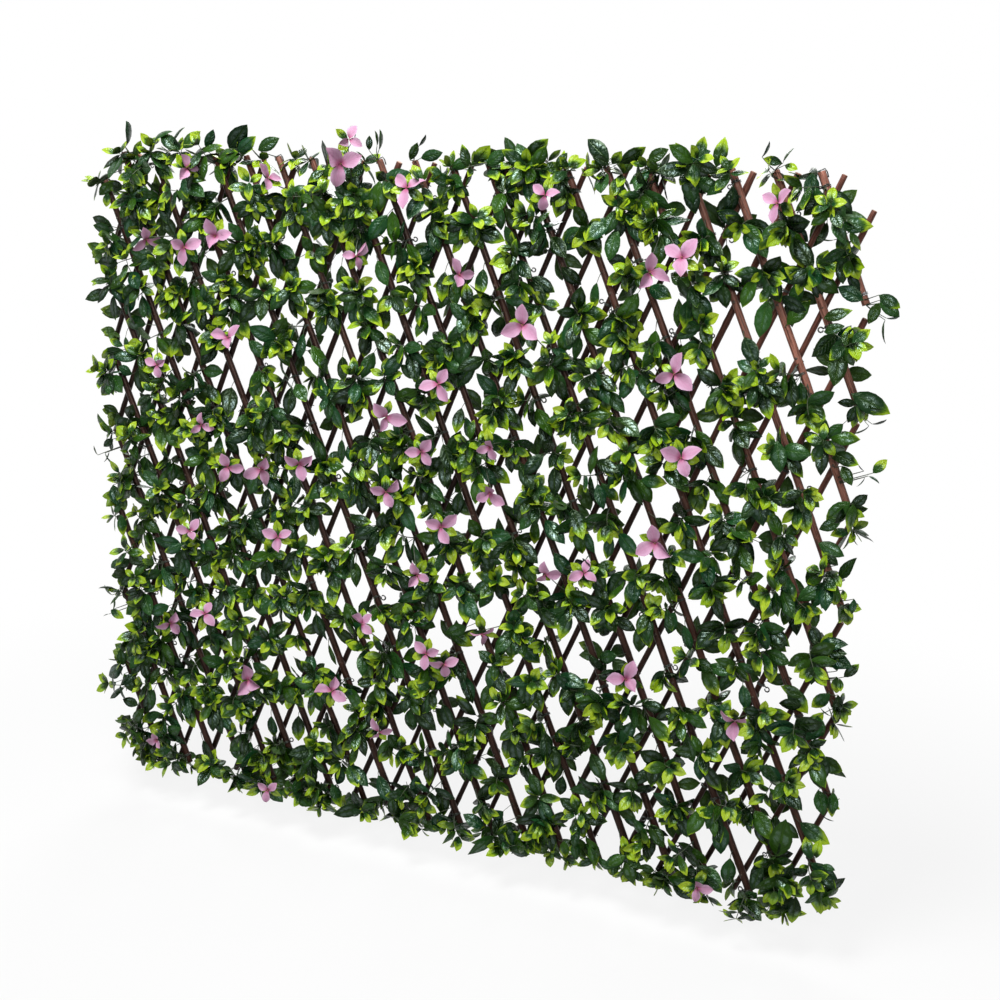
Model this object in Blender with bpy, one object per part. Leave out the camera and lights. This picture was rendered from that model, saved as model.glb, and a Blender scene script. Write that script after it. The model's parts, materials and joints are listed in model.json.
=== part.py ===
# Expandable wooden fence: two layers of willow sticks that cross as a scissor lattice, with
# sprays of artificial leaves on them. The lattice pulls out wide and low, or pushes in narrow
# and tall. Metres, +Z up, +X along the fence; the leafy front faces -Y. The origin is on the
# centre pin, midway between the two layers of sticks.

import math
import random

import bmesh
import bpy

# The lattice. A crossing has a column and a row, counted in half cells from the centre pin.
PIN_PITCH = 0.0726                        # pin to pin along a stick
REST_HALF_ANGLE = math.radians(23.25)     # a stick's lean from upright, as photographed
HALF_COLUMNS = 20                         # columns of crossings on each side of the centre
HALF_ROWS = 7                             # rows of crossings above and below the centre
FRONT_END_OVERHANG = 0.0363               # front stick beyond its last pin, top and bottom
REAR_END_OVERHANG = 0.0330                # the same for a rear stick
FRONT_SIDE_OVERHANG = 0.0653              # front stick beyond its last pin, left and right
REAR_SIDE_OVERHANG = 0.0600               # the same for a rear stick

# The sticks. Front sticks rise to the left, and rear sticks rise to the right.
FRONT_STICK_DIAMETER = 0.0090
REAR_STICK_DIAMETER = 0.0080
LAYER_GAP = 0.0003                        # between the front and the rear sticks
STICK_SIDES = 6

# The nails that the sticks turn on
PIN_DIAMETER = 0.0020
PIN_CLEARANCE = 0.0003                    # all round a pin, in the stick that turns on it
PIN_TAIL = 0.0012                         # what a pin shows behind the rear stick
PIN_SIDES = 6
FLAT_MARGIN = 0.0006                      # flat wood left above and below a pin or its hole
HEAD_DIAMETER = 0.0056                    # of the centre pin
HEAD_THICKNESS = 0.0012
HEAD_GAP = 0.0003                         # from a head to the stick under it
HEAD_SIDES = 12

# The leaf sprays. A stem rises from a stick's outer flat, one for each crossing of a front
# stick, and ends in a rosette of leaves or in a flower.
SPRAY_RISE = 0.0120                       # from a crossing up the stick to the stem
STEM_ROOT = 0.0032                        # height of the stem where it leaves the stick
STEM_WIDTH = 0.0024                       # where it meets the leaves
NEAR_STEM = 0.0105                        # every second front stick carries its leaves near,
FAR_STEM = 0.0330                         # the others far, so that they pass when it folds
REAR_STEM = 0.0090
LEAF_REACH = 0.0340                       # from the stem to a leaf tip, along the stick
LEAF_SPREAD = 0.0185                      # the same across the stick
LEAF_FOLD = 0.0125                        # from the stem to where two leaves part
CROWN_RISE = 0.0050                       # the middle of a rosette above the end of its stem
FOLD_RISE = 0.0028                        # where two leaves part, above the end of the stem
TIP_RISE = 0.0090                         # leaf tips above the end of the stem
LEAVES = 6
REAR_SPRAY_EVERY = 3                      # crossings from one rear spray to the next
ROSETTE_TURN_ANGLE = math.radians(9)      # the most that one is turned about its stem
SHORTEST_LEAF_SHARE = 0.86
LOWEST_TIP_SHARE = 0.55
SPRAY_SEED = 11

# The leaf pairs. Between two rosettes of a front stick, two leaves hang from one short stem,
# behind the leaves of the stick's rosettes and clear of those of its neighbours.
NEAR_PAIR_STEM = 0.0040                   # on the sticks that carry their rosettes near
FAR_PAIR_STEM = 0.0230                    # on those that carry them far
PAIR_SPREAD = 0.0175                      # from the stem to the widest place, across the stick
PAIR_DROP = 0.0300                        # from the stem to a leaf tip, down the stick
PAIR_TOP = 0.0055                         # from the stem to the fold above it, up the stick
PAIR_CLEFT = 0.0085                       # from the stem to where the two leaves part
PAIR_SHOULDER_SHARE = 0.30                # of the drop, where a leaf is widest
PAIR_TIP_SHARE = 0.76                     # of the spread, where a leaf tip is
PAIR_FOLD_RISE = 0.0012                   # the folds above the end of the stem
PAIR_SHOULDER_RISE = 0.0026
PAIR_TIP_RISE = 0.0044
PAIR_CROWN_RISE = 0.0034                  # where the two leaves meet, above the end of the stem
PAIR_CYCLE = 5                            # of this many places along a stick,
PAIRS_IN_CYCLE = 3                        # this many carry a pair

# The flowers, of three broad petals, which stand clear in front of all the leaves
FLOWER_STEM = 0.0460
PETALS = 3
PETAL_REACH = 0.0260                      # from the stem to a petal tip, along the stick
PETAL_SPREAD = 0.0200                     # the same across the stick
PETAL_FOLD = 0.0050                       # from the stem to where two petals part
PETAL_RISE = 0.0060                       # petal tips above the end of the stem
SHOULDER_RISE = 0.0050                    # a petal's widest place above the end of the stem
SHOULDER_SHARE = 0.66                     # of the reach, where a petal is widest
SHOULDER_ANGLE = math.radians(27)         # from a petal's middle to its widest place
# The crossings with a flower: row, then the columns in it from left to right
FLOWER_PLACES = {
    7: (-13, -9, -5, -1, 7, 17),
    6: (-16, -12, -4, 12),
    5: (-15, 1),
    4: (-12, 6, 12),
    3: (-17, 1),
    2: (-2, 4, 14),
    1: (-13, -9, 1),
    0: (-12, -2, 2, 12),
    -1: (-15, -9, -1, 7),
    -2: (4,),
    -3: (-13, -3, 1, 11, 17),
    -4: (-16, -6),
    -5: (-11, -3),
    -7: (-17, -9, 15),
}

# Colours, as linear red, green and blue
FRONT_WOOD = (0.156, 0.053, 0.032)
REAR_WOOD = (0.045, 0.018, 0.012)
LEAF_GREEN = (0.020, 0.110, 0.030)
PETAL_PINK = (0.620, 0.250, 0.480)
PIN_STEEL = (0.330, 0.320, 0.310)

FRONT = {
    "name": "front_stick",
    "outward": -1,
    "lean": -REST_HALF_ANGLE,
    "diameter": FRONT_STICK_DIAMETER,
    "end_overhang": FRONT_END_OVERHANG,
    "side_overhang": FRONT_SIDE_OVERHANG,
    "wood": FRONT_WOOD,
}
REAR = {
    "name": "rear_stick",
    "outward": 1,
    "lean": REST_HALF_ANGLE,
    "diameter": REAR_STICK_DIAMETER,
    "end_overhang": REAR_END_OVERHANG,
    "side_overhang": REAR_SIDE_OVERHANG,
    "wood": REAR_WOOD,
}


def clear_scene():
    for item in list(bpy.data.objects):
        bpy.data.objects.remove(item, do_unlink=True)


def make_material(name, colour, roughness, metallic=0.0):
    material = bpy.data.materials.new(name)
    material.use_nodes = True
    shader = material.node_tree.nodes["Principled BSDF"]
    shader.inputs["Base Color"].default_value = (*colour, 1.0)
    shader.inputs["Roughness"].default_value = roughness
    shader.inputs["Metallic"].default_value = metallic
    return material


# The lattice's rules. A stick is known by its number: 0 passes the centre pin, and its
# neighbours are 2, 4, 6 and so on to the right, or -2, -4, -6 to the left. A front stick's
# crossings lie where column + row is its number, and a rear stick's where column - row is.

def stick_numbers():
    last = HALF_COLUMNS + HALF_ROWS - 1
    last -= last % 2
    return range(-last, last + 1, 2)


def end_rows(layer, number):
    middle = number * layer["outward"]
    lowest = max(-HALF_ROWS, -HALF_COLUMNS - middle)
    highest = min(HALF_ROWS, HALF_COLUMNS - middle)
    return lowest, highest


def partner_of(number):
    # The stick of the other layer that this one is hinged on. The sticks that cross the
    # centre sticks hinge there, and those further out hinge on the last that do.
    reach = 2 * HALF_ROWS
    steps = max(0, abs(number) - 1) // reach
    return int(math.copysign(steps * reach, number))


def hinge_row(layer, number):
    return -layer["outward"] * (number - partner_of(number)) // 2


def hinge_pairs():
    # Front and rear stick numbers of every crossing that has a hinge of its own.
    outer = [number for number in stick_numbers() if number != 0]
    return [(number, partner_of(number)) for number in outer] + [
        (partner_of(number), number) for number in outer
    ]


def pinned_rows(layer, number):
    side = 0 if layer is FRONT else 1
    return [(pair[0] - pair[1]) // 2 for pair in hinge_pairs() if pair[side] == number]


def crossing_place(column, row):
    across = column * PIN_PITCH * math.sin(REST_HALF_ANGLE)
    up = row * PIN_PITCH * math.cos(REST_HALF_ANGLE)
    return across, 0.0, up


def layer_centre(layer):
    return layer["outward"] * (LAYER_GAP + layer["diameter"]) / 2


def spray_rows(layer, number, lowest, highest):
    rows = range(lowest, highest + 1)
    if layer is FRONT:
        return list(rows)
    if number % 4:
        return []
    return [row for row in rows if (row + number // 2) % REAR_SPRAY_EVERY == 0]


def pair_rows(layer, number, lowest, highest):
    # A pair hangs above its row, so the lowest ones belong to the row below the first crossing.
    if layer is REAR:
        return []
    return [row for row in range(lowest - 1, highest + 1)
            if (2 * row + number // 2) % PAIR_CYCLE < PAIRS_IN_CYCLE]


def has_flower(layer, number, row):
    return layer is FRONT and number - row in FLOWER_PLACES.get(row, ())


def stem_length(layer, number, kind):
    if kind == "flower":
        return FLOWER_STEM
    if layer is REAR:
        return REAR_STEM
    if kind == "pair":
        return FAR_PAIR_STEM if number % 4 else NEAR_PAIR_STEM
    return FAR_STEM if number % 4 else NEAR_STEM


# Mesh helpers. Every stick is built lying along its own Z axis, with X across it.

def about(vertex, height):
    return math.atan2(vertex.co.z - height, vertex.co.x) % math.tau


def join_loops(bm, outer, inner, height):
    # Triangles between two loops that go round the same axis, whatever their counts.
    outer = sorted(outer, key=lambda vertex: about(vertex, height))
    inner = sorted(inner, key=lambda vertex: about(vertex, height))
    made = []
    i = j = 0
    while i < len(outer) or j < len(inner):
        next_outer = about(outer[(i + 1) % len(outer)], height) + math.tau * (i + 1 >= len(outer))
        next_inner = about(inner[(j + 1) % len(inner)], height) + math.tau * (j + 1 >= len(inner))
        corner_outer, corner_inner = outer[i % len(outer)], inner[j % len(inner)]
        if j >= len(inner) or (i < len(outer) and next_outer <= next_inner):
            i += 1
            third = outer[i % len(outer)]
        else:
            j += 1
            third = inner[j % len(inner)]
        made.append(bm.faces.new((corner_outer, corner_inner, third)))
    return made


def join_edges(bm, left, right):
    # Triangles between two long edges of a stick, whose points may differ in number.
    i = j = 0
    while i < len(left) - 1 or j < len(right) - 1:
        take_left = j == len(right) - 1 or (
            i < len(left) - 1 and left[i + 1].co.z < right[j + 1].co.z
        )
        if take_left:
            bm.faces.new((left[i], right[j], left[i + 1]))
            i += 1
        else:
            bm.faces.new((left[i], right[j], right[j + 1]))
            j += 1


def circle_on_flat(bm, y, height, radius, sides):
    angles = [math.tau * step / sides for step in range(sides)]
    return [
        bm.verts.new((radius * math.cos(angle), y, height + radius * math.sin(angle)))
        for angle in angles
    ]


def wall_between(bm, first, second):
    for a, b, c, d in zip(first, first[1:] + first[:1], second[1:] + second[:1], second):
        bm.faces.new((a, b, c, d))


def round_opening(bm, window, height, radius):
    # Swaps a window in a flat for flat wood with a round edge in it, and returns that edge.
    corners = list(window.verts)
    bm.faces.remove(window)
    edge = circle_on_flat(bm, corners[0].co.y, height, radius, PIN_SIDES)
    join_loops(bm, corners, edge, height)
    return edge


def add_pin(bm, window, height, length):
    root = round_opening(bm, window, height, PIN_DIAMETER / 2)
    tip_y = root[0].co.y + length
    tip = circle_on_flat(bm, tip_y, height, PIN_DIAMETER / 2, PIN_SIDES)
    wall_between(bm, root, tip)
    bm.faces.new(tip)


def hole_radius():
    # The flats of the hole clear the corners of the pin that turns in it.
    return (PIN_DIAMETER / 2 + PIN_CLEARANCE) / math.cos(math.pi / PIN_SIDES)


def add_hole(bm, front_window, rear_window, height):
    front_edge = round_opening(bm, front_window, height, hole_radius())
    rear_edge = round_opening(bm, rear_window, height, hole_radius())
    wall_between(bm, front_edge, rear_edge)


def leaf_outline(chance):
    # Points round a rosette of leaves: across and along the stick, and above the stem's end.
    points = []
    for step in range(2 * LEAVES):
        angle = math.pi * step / LEAVES
        if step % 2:
            length = chance.uniform(SHORTEST_LEAF_SHARE, 1.0)
            across = length * LEAF_SPREAD * math.cos(angle)
            along = length * LEAF_REACH * math.sin(angle)
            rise = TIP_RISE * chance.uniform(LOWEST_TIP_SHARE, 1.0)
        else:
            across = LEAF_FOLD * math.cos(angle)
            along = LEAF_FOLD * math.sin(angle)
            rise = FOLD_RISE
        points.append((across, along, rise))
    return points


def flower_outline(chance):
    # The same round a flower: a fold, a shoulder, a tip and a shoulder for each petal.
    points = []
    way_up = chance.choice((-1, 1))
    for petal in range(PETALS):
        middle = math.tau * petal / PETALS + way_up * math.pi / 2
        for angle, share, rise in (
            (middle - math.pi / PETALS, PETAL_FOLD / PETAL_REACH, FOLD_RISE),
            (middle - SHOULDER_ANGLE, SHOULDER_SHARE, SHOULDER_RISE),
            (middle, 1.0, PETAL_RISE),
            (middle + SHOULDER_ANGLE, SHOULDER_SHARE, SHOULDER_RISE),
        ):
            across = share * PETAL_SPREAD * math.cos(angle)
            along = share * PETAL_REACH * math.sin(angle)
            points.append((across, along, rise))
    return points


def pair_outline(chance):
    # The same round two hanging leaves: the fold above them, a shoulder and a tip for each, and
    # the cleft between them.
    tip_rise = PAIR_TIP_RISE * chance.uniform(LOWEST_TIP_SHARE, 1.0)
    points = [(0.0, PAIR_TOP, PAIR_FOLD_RISE), (0.0, -PAIR_CLEFT, PAIR_FOLD_RISE)]
    for way in (-1, 1):
        length = chance.uniform(SHORTEST_LEAF_SHARE, 1.0)
        points.append((way * PAIR_SPREAD, -PAIR_SHOULDER_SHARE * PAIR_DROP, PAIR_SHOULDER_RISE))
        points.append((way * PAIR_TIP_SHARE * PAIR_SPREAD, -length * PAIR_DROP, tip_rise))
    return sorted(points, key=lambda point: math.atan2(point[1], point[0]))


SPRAY_SHAPES = {                          # outline, and height of the middle above the stem
    "leaves": (leaf_outline, CROWN_RISE),
    "pair": (pair_outline, PAIR_CROWN_RISE),
    "flower": (flower_outline, CROWN_RISE),
}


def add_spray(bm, window, height, outward, stem, chance, kind):
    outline_of, crown_rise = SPRAY_SHAPES[kind]
    corners = sorted(window.verts, key=lambda vertex: about(vertex, height))
    stem_end = corners[0].co.y + outward * stem
    bm.faces.remove(window)
    half = STEM_WIDTH / 2
    neck = [bm.verts.new((math.copysign(half, corner.co.x), stem_end,
                          height + math.copysign(half, corner.co.z - height)))
            for corner in corners]
    wall_between(bm, corners, neck)

    turn = chance.uniform(-ROSETTE_TURN_ANGLE, ROSETTE_TURN_ANGLE)
    outline = [
        bm.verts.new((
            across * math.cos(turn) - along * math.sin(turn),
            stem_end + outward * rise,
            height + across * math.sin(turn) + along * math.cos(turn),
        ))
        for across, along, rise in outline_of(chance)
    ]
    skin = join_loops(bm, outline, neck, height)
    crown = bm.verts.new((0.0, stem_end + outward * crown_rise, height))
    for first, second in zip(outline, outline[1:] + outline[:1]):
        skin.append(bm.faces.new((crown, first, second)))
    for face in skin:
        face.material_index = 2 if kind == "flower" else 1


def add_stick_body(bm, layer, low, high, windows):
    # A six-sided stick whose flats face the front and the back. windows holds, for the flat
    # that faces +Y and the one that faces -Y, the heights that its windows run between.
    marks = {side: [z for window in windows[side] for z in window] for side in (1, -1)}
    middles = sorted({(a + b) / 2 for side in (1, -1) for a, b in windows[side]})
    radius = layer["diameter"] / 2 / math.cos(math.pi / STICK_SIDES)
    columns = []
    for corner, heights in enumerate([middles, marks[1], marks[1], middles, marks[-1], marks[-1]]):
        angle = math.tau * corner / STICK_SIDES
        x, y = radius * math.cos(angle), layer_centre(layer) + radius * math.sin(angle)
        columns.append([bm.verts.new((x, y, z)) for z in [low, *heights, high]])
    for left, right in ((0, 1), (2, 3), (3, 4), (5, 0)):
        join_edges(bm, columns[left], columns[right])
    bm.faces.new([column[0] for column in columns])
    bm.faces.new([column[-1] for column in columns])
    flats = {}
    for side, left, right in ((1, columns[1], columns[2]), (-1, columns[4], columns[5])):
        strip = [bm.faces.new(quad) for quad in zip(left, left[1:], right[1:], right)]
        flats[side] = strip[1::2]
    return flats


def make_stick(layer, number, chance):
    lowest, highest = end_rows(layer, number)
    own_row = hinge_row(layer, number)

    def height_of(row):
        return (row - own_row) * PIN_PITCH

    end, side = layer["end_overhang"], layer["side_overhang"]
    low = height_of(lowest) - (end if lowest == -HALF_ROWS else side)
    high = height_of(highest) + (end if highest == HALF_ROWS else side)

    outward = layer["outward"]
    pinned = [height_of(row) for row in pinned_rows(layer, number)]
    centre = [0.0] if number == 0 else []
    features = [
        (height_of(row) + SPRAY_RISE, "flower" if has_flower(layer, number, row) else "leaves", outward)
        for row in spray_rows(layer, number, lowest, highest)
    ]
    pair_heights = [height_of(row) + SPRAY_RISE + PIN_PITCH / 2
                    for row in pair_rows(layer, number, lowest, highest)]
    features += [(z, "pair", outward) for z in pair_heights if low + STEM_ROOT < z < high - STEM_ROOT]
    if layer is FRONT:
        features += [(z, "pin", 1) for z in pinned]
        features += [(z, "hole", side) for z in centre for side in (1, -1)]
    else:
        features += [(z, "hole", side) for z in pinned + centre for side in (1, -1)]
    features.sort()

    half_heights = {
        "leaves": STEM_ROOT / 2,
        "pair": STEM_ROOT / 2,
        "flower": STEM_ROOT / 2,
        "pin": PIN_DIAMETER / 2 + FLAT_MARGIN,
        "hole": hole_radius() + FLAT_MARGIN,
    }
    bm = bmesh.new()
    on_side = {side: [item for item in features if item[2] == side] for side in (1, -1)}
    windows = {side: [(z - half_heights[kind], z + half_heights[kind])
                      for z, kind, _ in on_side[side]] for side in (1, -1)}
    flats = add_stick_body(bm, layer, low, high, windows)

    holes = {}
    for side in (1, -1):
        for (z, kind, _), window in zip(on_side[side], flats[side]):
            if kind in SPRAY_SHAPES:
                add_spray(bm, window, z, outward, stem_length(layer, number, kind), chance, kind)
            elif kind == "pin":
                add_pin(bm, window, z, LAYER_GAP + REAR_STICK_DIAMETER + PIN_TAIL)
            else:
                holes.setdefault(z, []).append(window)
    for z, (rear_window, front_window) in holes.items():
        add_hole(bm, front_window, rear_window, z)
    bmesh.ops.recalc_face_normals(bm, faces=bm.faces)

    order = (number - min(stick_numbers())) // 2 + 1
    name = f"{layer['name']}_{order:02d}"
    mesh = bpy.data.meshes.new(name)
    bm.to_mesh(mesh)
    bm.free()
    mesh.materials.append(make_material(f"{name}_wood", layer["wood"], 0.55))
    mesh.materials.append(make_material(f"{name}_leaves", LEAF_GREEN, 0.35))
    mesh.materials.append(make_material(f"{name}_petals", PETAL_PINK, 0.45))
    stick = bpy.data.objects.new(name, mesh)
    stick.location = crossing_place(number + outward * own_row, own_row)
    stick.rotation_euler = (0.0, layer["lean"], 0.0)
    bpy.context.collection.objects.link(stick)


def make_centre_pin():
    # One nail with a head at the front and a clenched washer end at the back.
    front_head = -LAYER_GAP / 2 - FRONT_STICK_DIAMETER - HEAD_GAP
    rear_head = LAYER_GAP / 2 + REAR_STICK_DIAMETER + HEAD_GAP
    profile = [
        (HEAD_DIAMETER / 2, front_head - HEAD_THICKNESS),
        (HEAD_DIAMETER / 2, front_head),
        (PIN_DIAMETER / 2, front_head),
        (PIN_DIAMETER / 2, rear_head),
        (HEAD_DIAMETER / 2, rear_head),
        (HEAD_DIAMETER / 2, rear_head + HEAD_THICKNESS),
    ]
    bm = bmesh.new()
    rings = [circle_on_flat(bm, y, 0.0, radius, HEAD_SIDES) for radius, y in profile]
    for first, second in zip(rings, rings[1:]):
        wall_between(bm, first, second)
    bm.faces.new(rings[0])
    bm.faces.new(rings[-1])
    bmesh.ops.recalc_face_normals(bm, faces=bm.faces)
    mesh = bpy.data.meshes.new("centre_pin")
    bm.to_mesh(mesh)
    bm.free()
    mesh.materials.append(make_material("centre_pin_steel", PIN_STEEL, 0.35, 1.0))
    bpy.context.collection.objects.link(bpy.data.objects.new("centre_pin", mesh))


def main():
    clear_scene()
    chance = random.Random(SPRAY_SEED)
    make_centre_pin()
    for layer in (FRONT, REAR):
        for number in stick_numbers():
            make_stick(layer, number, chance)


main()
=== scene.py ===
import json
import math
import random

import bmesh
import bpy
import numpy as np
from mathutils import Matrix, Vector

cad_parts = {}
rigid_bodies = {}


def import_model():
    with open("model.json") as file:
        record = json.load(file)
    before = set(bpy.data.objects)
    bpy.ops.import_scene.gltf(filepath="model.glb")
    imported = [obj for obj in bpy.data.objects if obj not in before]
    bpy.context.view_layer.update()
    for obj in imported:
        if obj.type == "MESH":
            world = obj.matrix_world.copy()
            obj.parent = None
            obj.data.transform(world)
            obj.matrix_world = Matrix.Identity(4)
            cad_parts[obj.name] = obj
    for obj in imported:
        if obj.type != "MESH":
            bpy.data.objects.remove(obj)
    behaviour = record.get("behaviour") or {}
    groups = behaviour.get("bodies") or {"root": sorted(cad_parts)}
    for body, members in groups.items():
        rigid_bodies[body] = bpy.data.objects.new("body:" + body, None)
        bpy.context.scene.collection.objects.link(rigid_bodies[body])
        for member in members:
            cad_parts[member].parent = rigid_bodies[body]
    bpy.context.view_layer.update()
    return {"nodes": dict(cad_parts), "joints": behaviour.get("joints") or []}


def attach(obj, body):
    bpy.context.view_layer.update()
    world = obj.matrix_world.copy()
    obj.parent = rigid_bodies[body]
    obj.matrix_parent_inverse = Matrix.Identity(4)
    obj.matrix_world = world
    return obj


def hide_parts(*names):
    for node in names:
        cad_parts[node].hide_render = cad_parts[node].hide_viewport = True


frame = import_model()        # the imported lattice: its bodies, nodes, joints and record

scene = bpy.context.scene
shownCollection = scene.collection

# the lattice, counted in crossings from the middle one
lattice = {
    "columns": 20,
    "rows": 7,
    "stepJoint": "front_stick_15_pivot",    # one crossing up and one across from the middle
}
stepPlace = next(j["pos_m"] for j in frame["joints"] if j["name"] == lattice["stepJoint"])
stepAcross, stepUp = abs(stepPlace[0]), abs(stepPlace[2])
stickTotal = lattice["columns"] + lattice["rows"]

# how far leaves may reach, inside the room that soft parts have round the solids
reach = {"side": 0.640, "top": 0.543, "bottom": -0.514, "front": -0.0655, "back": 0.0320,
         "frontSpare": 0.006, "backSpare": 0.004,
         "give": 0.0065}         # what still lies past these is pressed into this much


def show(name, data):
    made = bpy.data.objects.new(name, data)
    shownCollection.objects.link(made)
    return made


# node helpers

class Value:
    # a node's output to reckon with: each sign adds a maths node
    def __init__(self, socket):
        self.socket = socket

    def maths(self, operation, *terms):
        values = dict(enumerate((self, *terms)))
        return take(self.socket.id_data, "ShaderNodeMath", values, operation=operation)

    def __add__(self, other):
        return self.maths("ADD", other)

    def __sub__(self, other):
        return self.maths("SUBTRACT", other)

    def __mul__(self, other):
        return self.maths("MULTIPLY", other)

    def __rsub__(self, number):
        return self * -1.0 + number

    def __abs__(self):
        return self.maths("ABSOLUTE")


def join(value, socket):
    # links a value to a node's input, or sets the input to a constant
    if isinstance(value, Value):
        socket.id_data.links.new(value.socket, socket)
    else:
        socket.default_value = value


def put(tree, kind, values=None, **settings):
    # adds a node, sets its properties, then links or sets its inputs by name or number
    node = tree.nodes.new(kind)
    for key, setting in settings.items():
        setattr(node, key, setting)
    for key, value in (values or {}).items():
        join(value, node.inputs[key])
    return node


def takeAll(tree, kind, values=None, **settings):
    # adds a node and gives all that it puts out, to reckon with
    return [Value(socket) for socket in put(tree, kind, values, **settings).outputs]


def take(tree, kind, values=None, output=0, **settings):
    # the same, for one output
    return Value(put(tree, kind, values, **settings).outputs[output])


def ease(value, low, high, start=0.0, end=1.0, kind="SMOOTHSTEP"):
    # a step of value from low to high
    return take(value.socket.id_data, "ShaderNodeMapRange", {0: value, 1: low, 2: high, 3: start, 4: end},
                interpolation_type=kind)


def blend(tree, share, first, second, mode="MIX"):
    return take(tree, "ShaderNodeMix", {0: share, 6: first, 7: second}, 2, data_type="RGBA", blend_type=mode)


def toned(tree, colour, tone):
    # a colour multiplied by a value
    grey = take(tree, "ShaderNodeCombineColor", dict.fromkeys(range(3), tone))
    return blend(tree, 1.0, colour, grey, "MULTIPLY")


def noise(tree, place, scale, detail=3.0, roughness=0.5):
    return take(tree, "ShaderNodeTexNoise",
                {"Vector": place, "Scale": scale, "Detail": detail, "Roughness": roughness})


def drawn(tree, place, factors):
    # a place drawn out or pressed together along its axes
    return take(tree, "ShaderNodeVectorMath", {0: place, 1: factors}, operation="MULTIPLY")


def groupTree(name, kind, inputs, outputs):
    # a node group, and its inputs by name
    tree = bpy.data.node_groups.new(name, kind)
    for label, socketKind, value in inputs:
        socket = tree.interface.new_socket(name=label, in_out="INPUT", socket_type="NodeSocket" + socketKind)
        if value is not None:
            socket.default_value = value
    for label, socketKind in outputs:
        tree.interface.new_socket(name=label, in_out="OUTPUT", socket_type="NodeSocket" + socketKind)
    return tree, {s.name: Value(s) for s in tree.nodes.new("NodeGroupInput").outputs}


def giveOut(tree, *values):
    # ends a group with what it puts out
    for value, socket in zip(values, tree.nodes.new("NodeGroupOutput").inputs):
        join(value, socket)
    return tree


# finishes

mapName = "OFBake"
sheetCells = 8           # the sprays' map is a sheet of 8 by 8 looks
bladeMap = {"margin": 0.02, "wide": 0.46, "long": 0.96}  # a blade's two faces in one cell of the sheet
paintDepth = 0.69        # paints lie this much deeper, under lamps that are as much stronger


def paint(red, green, blue):
    # a colour as it looks in the light, turned linear
    def linear(part):
        part /= 255
        return paintDepth * (part / 12.92 if part <= 0.04045 else ((part + 0.055) / 1.055) ** 2.4)
    return (linear(red), linear(green), linear(blue), 1.0)


def buildCellGroup():
    # splits the sheet into its cells: which look, and where on the blade
    tree, given = groupTree(
        "blade place", "ShaderNodeTree", [("Map", "Vector", None)],
        [("Along", "Float"), ("Across", "Float"), ("Under", "Float"), ("Row", "Float"), ("Tint", "Color")])
    cells = drawn(tree, given["Map"], (sheetCells, sheetCells, sheetCells))
    wide, high, _ = takeAll(tree, "ShaderNodeSeparateXYZ", {0: cells})
    row, local = high.maths("FLOOR"), wide.maths("FRACT")
    along = ease(high.maths("FRACT"), bladeMap["margin"], 1 - bladeMap["margin"], kind="LINEAR")
    across = ((local * 2.0).maths("FRACT") - 0.5) * 2.17
    under = local.maths("GREATER_THAN", 0.5)
    cell = take(tree, "ShaderNodeCombineXYZ", {0: wide.maths("FLOOR"), 1: row, 2: 4.0})
    tint = take(tree, "ShaderNodeTexWhiteNoise", {0: cell}, "Color", noise_dimensions="3D")
    return giveOut(tree, along, across, under, row, tint)


def buildVeinGroup():
    # a rib down the middle of a blade, and side veins that lean towards its tip
    tree, given = groupTree(
        "blade veins", "ShaderNodeTree",
        [("Along", "Float", 0.5), ("Across", "Float", 0.0), ("Pairs", "Float", 7.0), ("Slant", "Float", 1.9)],
        [("Rib", "Float"), ("Side", "Float")])
    off = abs(given["Across"])
    wave = (given["Along"] * given["Pairs"] - off * given["Slant"]).maths("PINGPONG", 0.5)
    side = ease(wave, 0.0, 0.17, 1.0, 0.0) * ease(off, 1.0, 0.55)
    return giveOut(tree, ease(off, 0.0, 0.13, 1.0, 0.0), side)


def newMaterial(name):
    material = bpy.data.materials.new(name)
    material.use_nodes = True
    return material, material.node_tree


def lay(tree, height, bump, values):
    # gives the shader a bump, with its depth and strength, and its other values
    depth, strength = bump
    normal = take(tree, "ShaderNodeBump", {"Height": height, "Distance": depth, "Strength": strength})
    for key, value in {"Normal": normal, **values}.items():
        join(value, tree.nodes["Principled BSDF"].inputs[key])


def bladeFields(tree):
    # a blade's map, the place on it, which face, its row of the sheet, and three chances of its own
    spot = take(tree, "ShaderNodeUVMap", uv_map=mapName)
    along, across, under, row, tint = takeAll(tree, "ShaderNodeGroup", {0: spot}, node_tree=cellGroup)
    return spot, along, across, under, row, takeAll(tree, "ShaderNodeSeparateColor", {0: tint})


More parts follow.
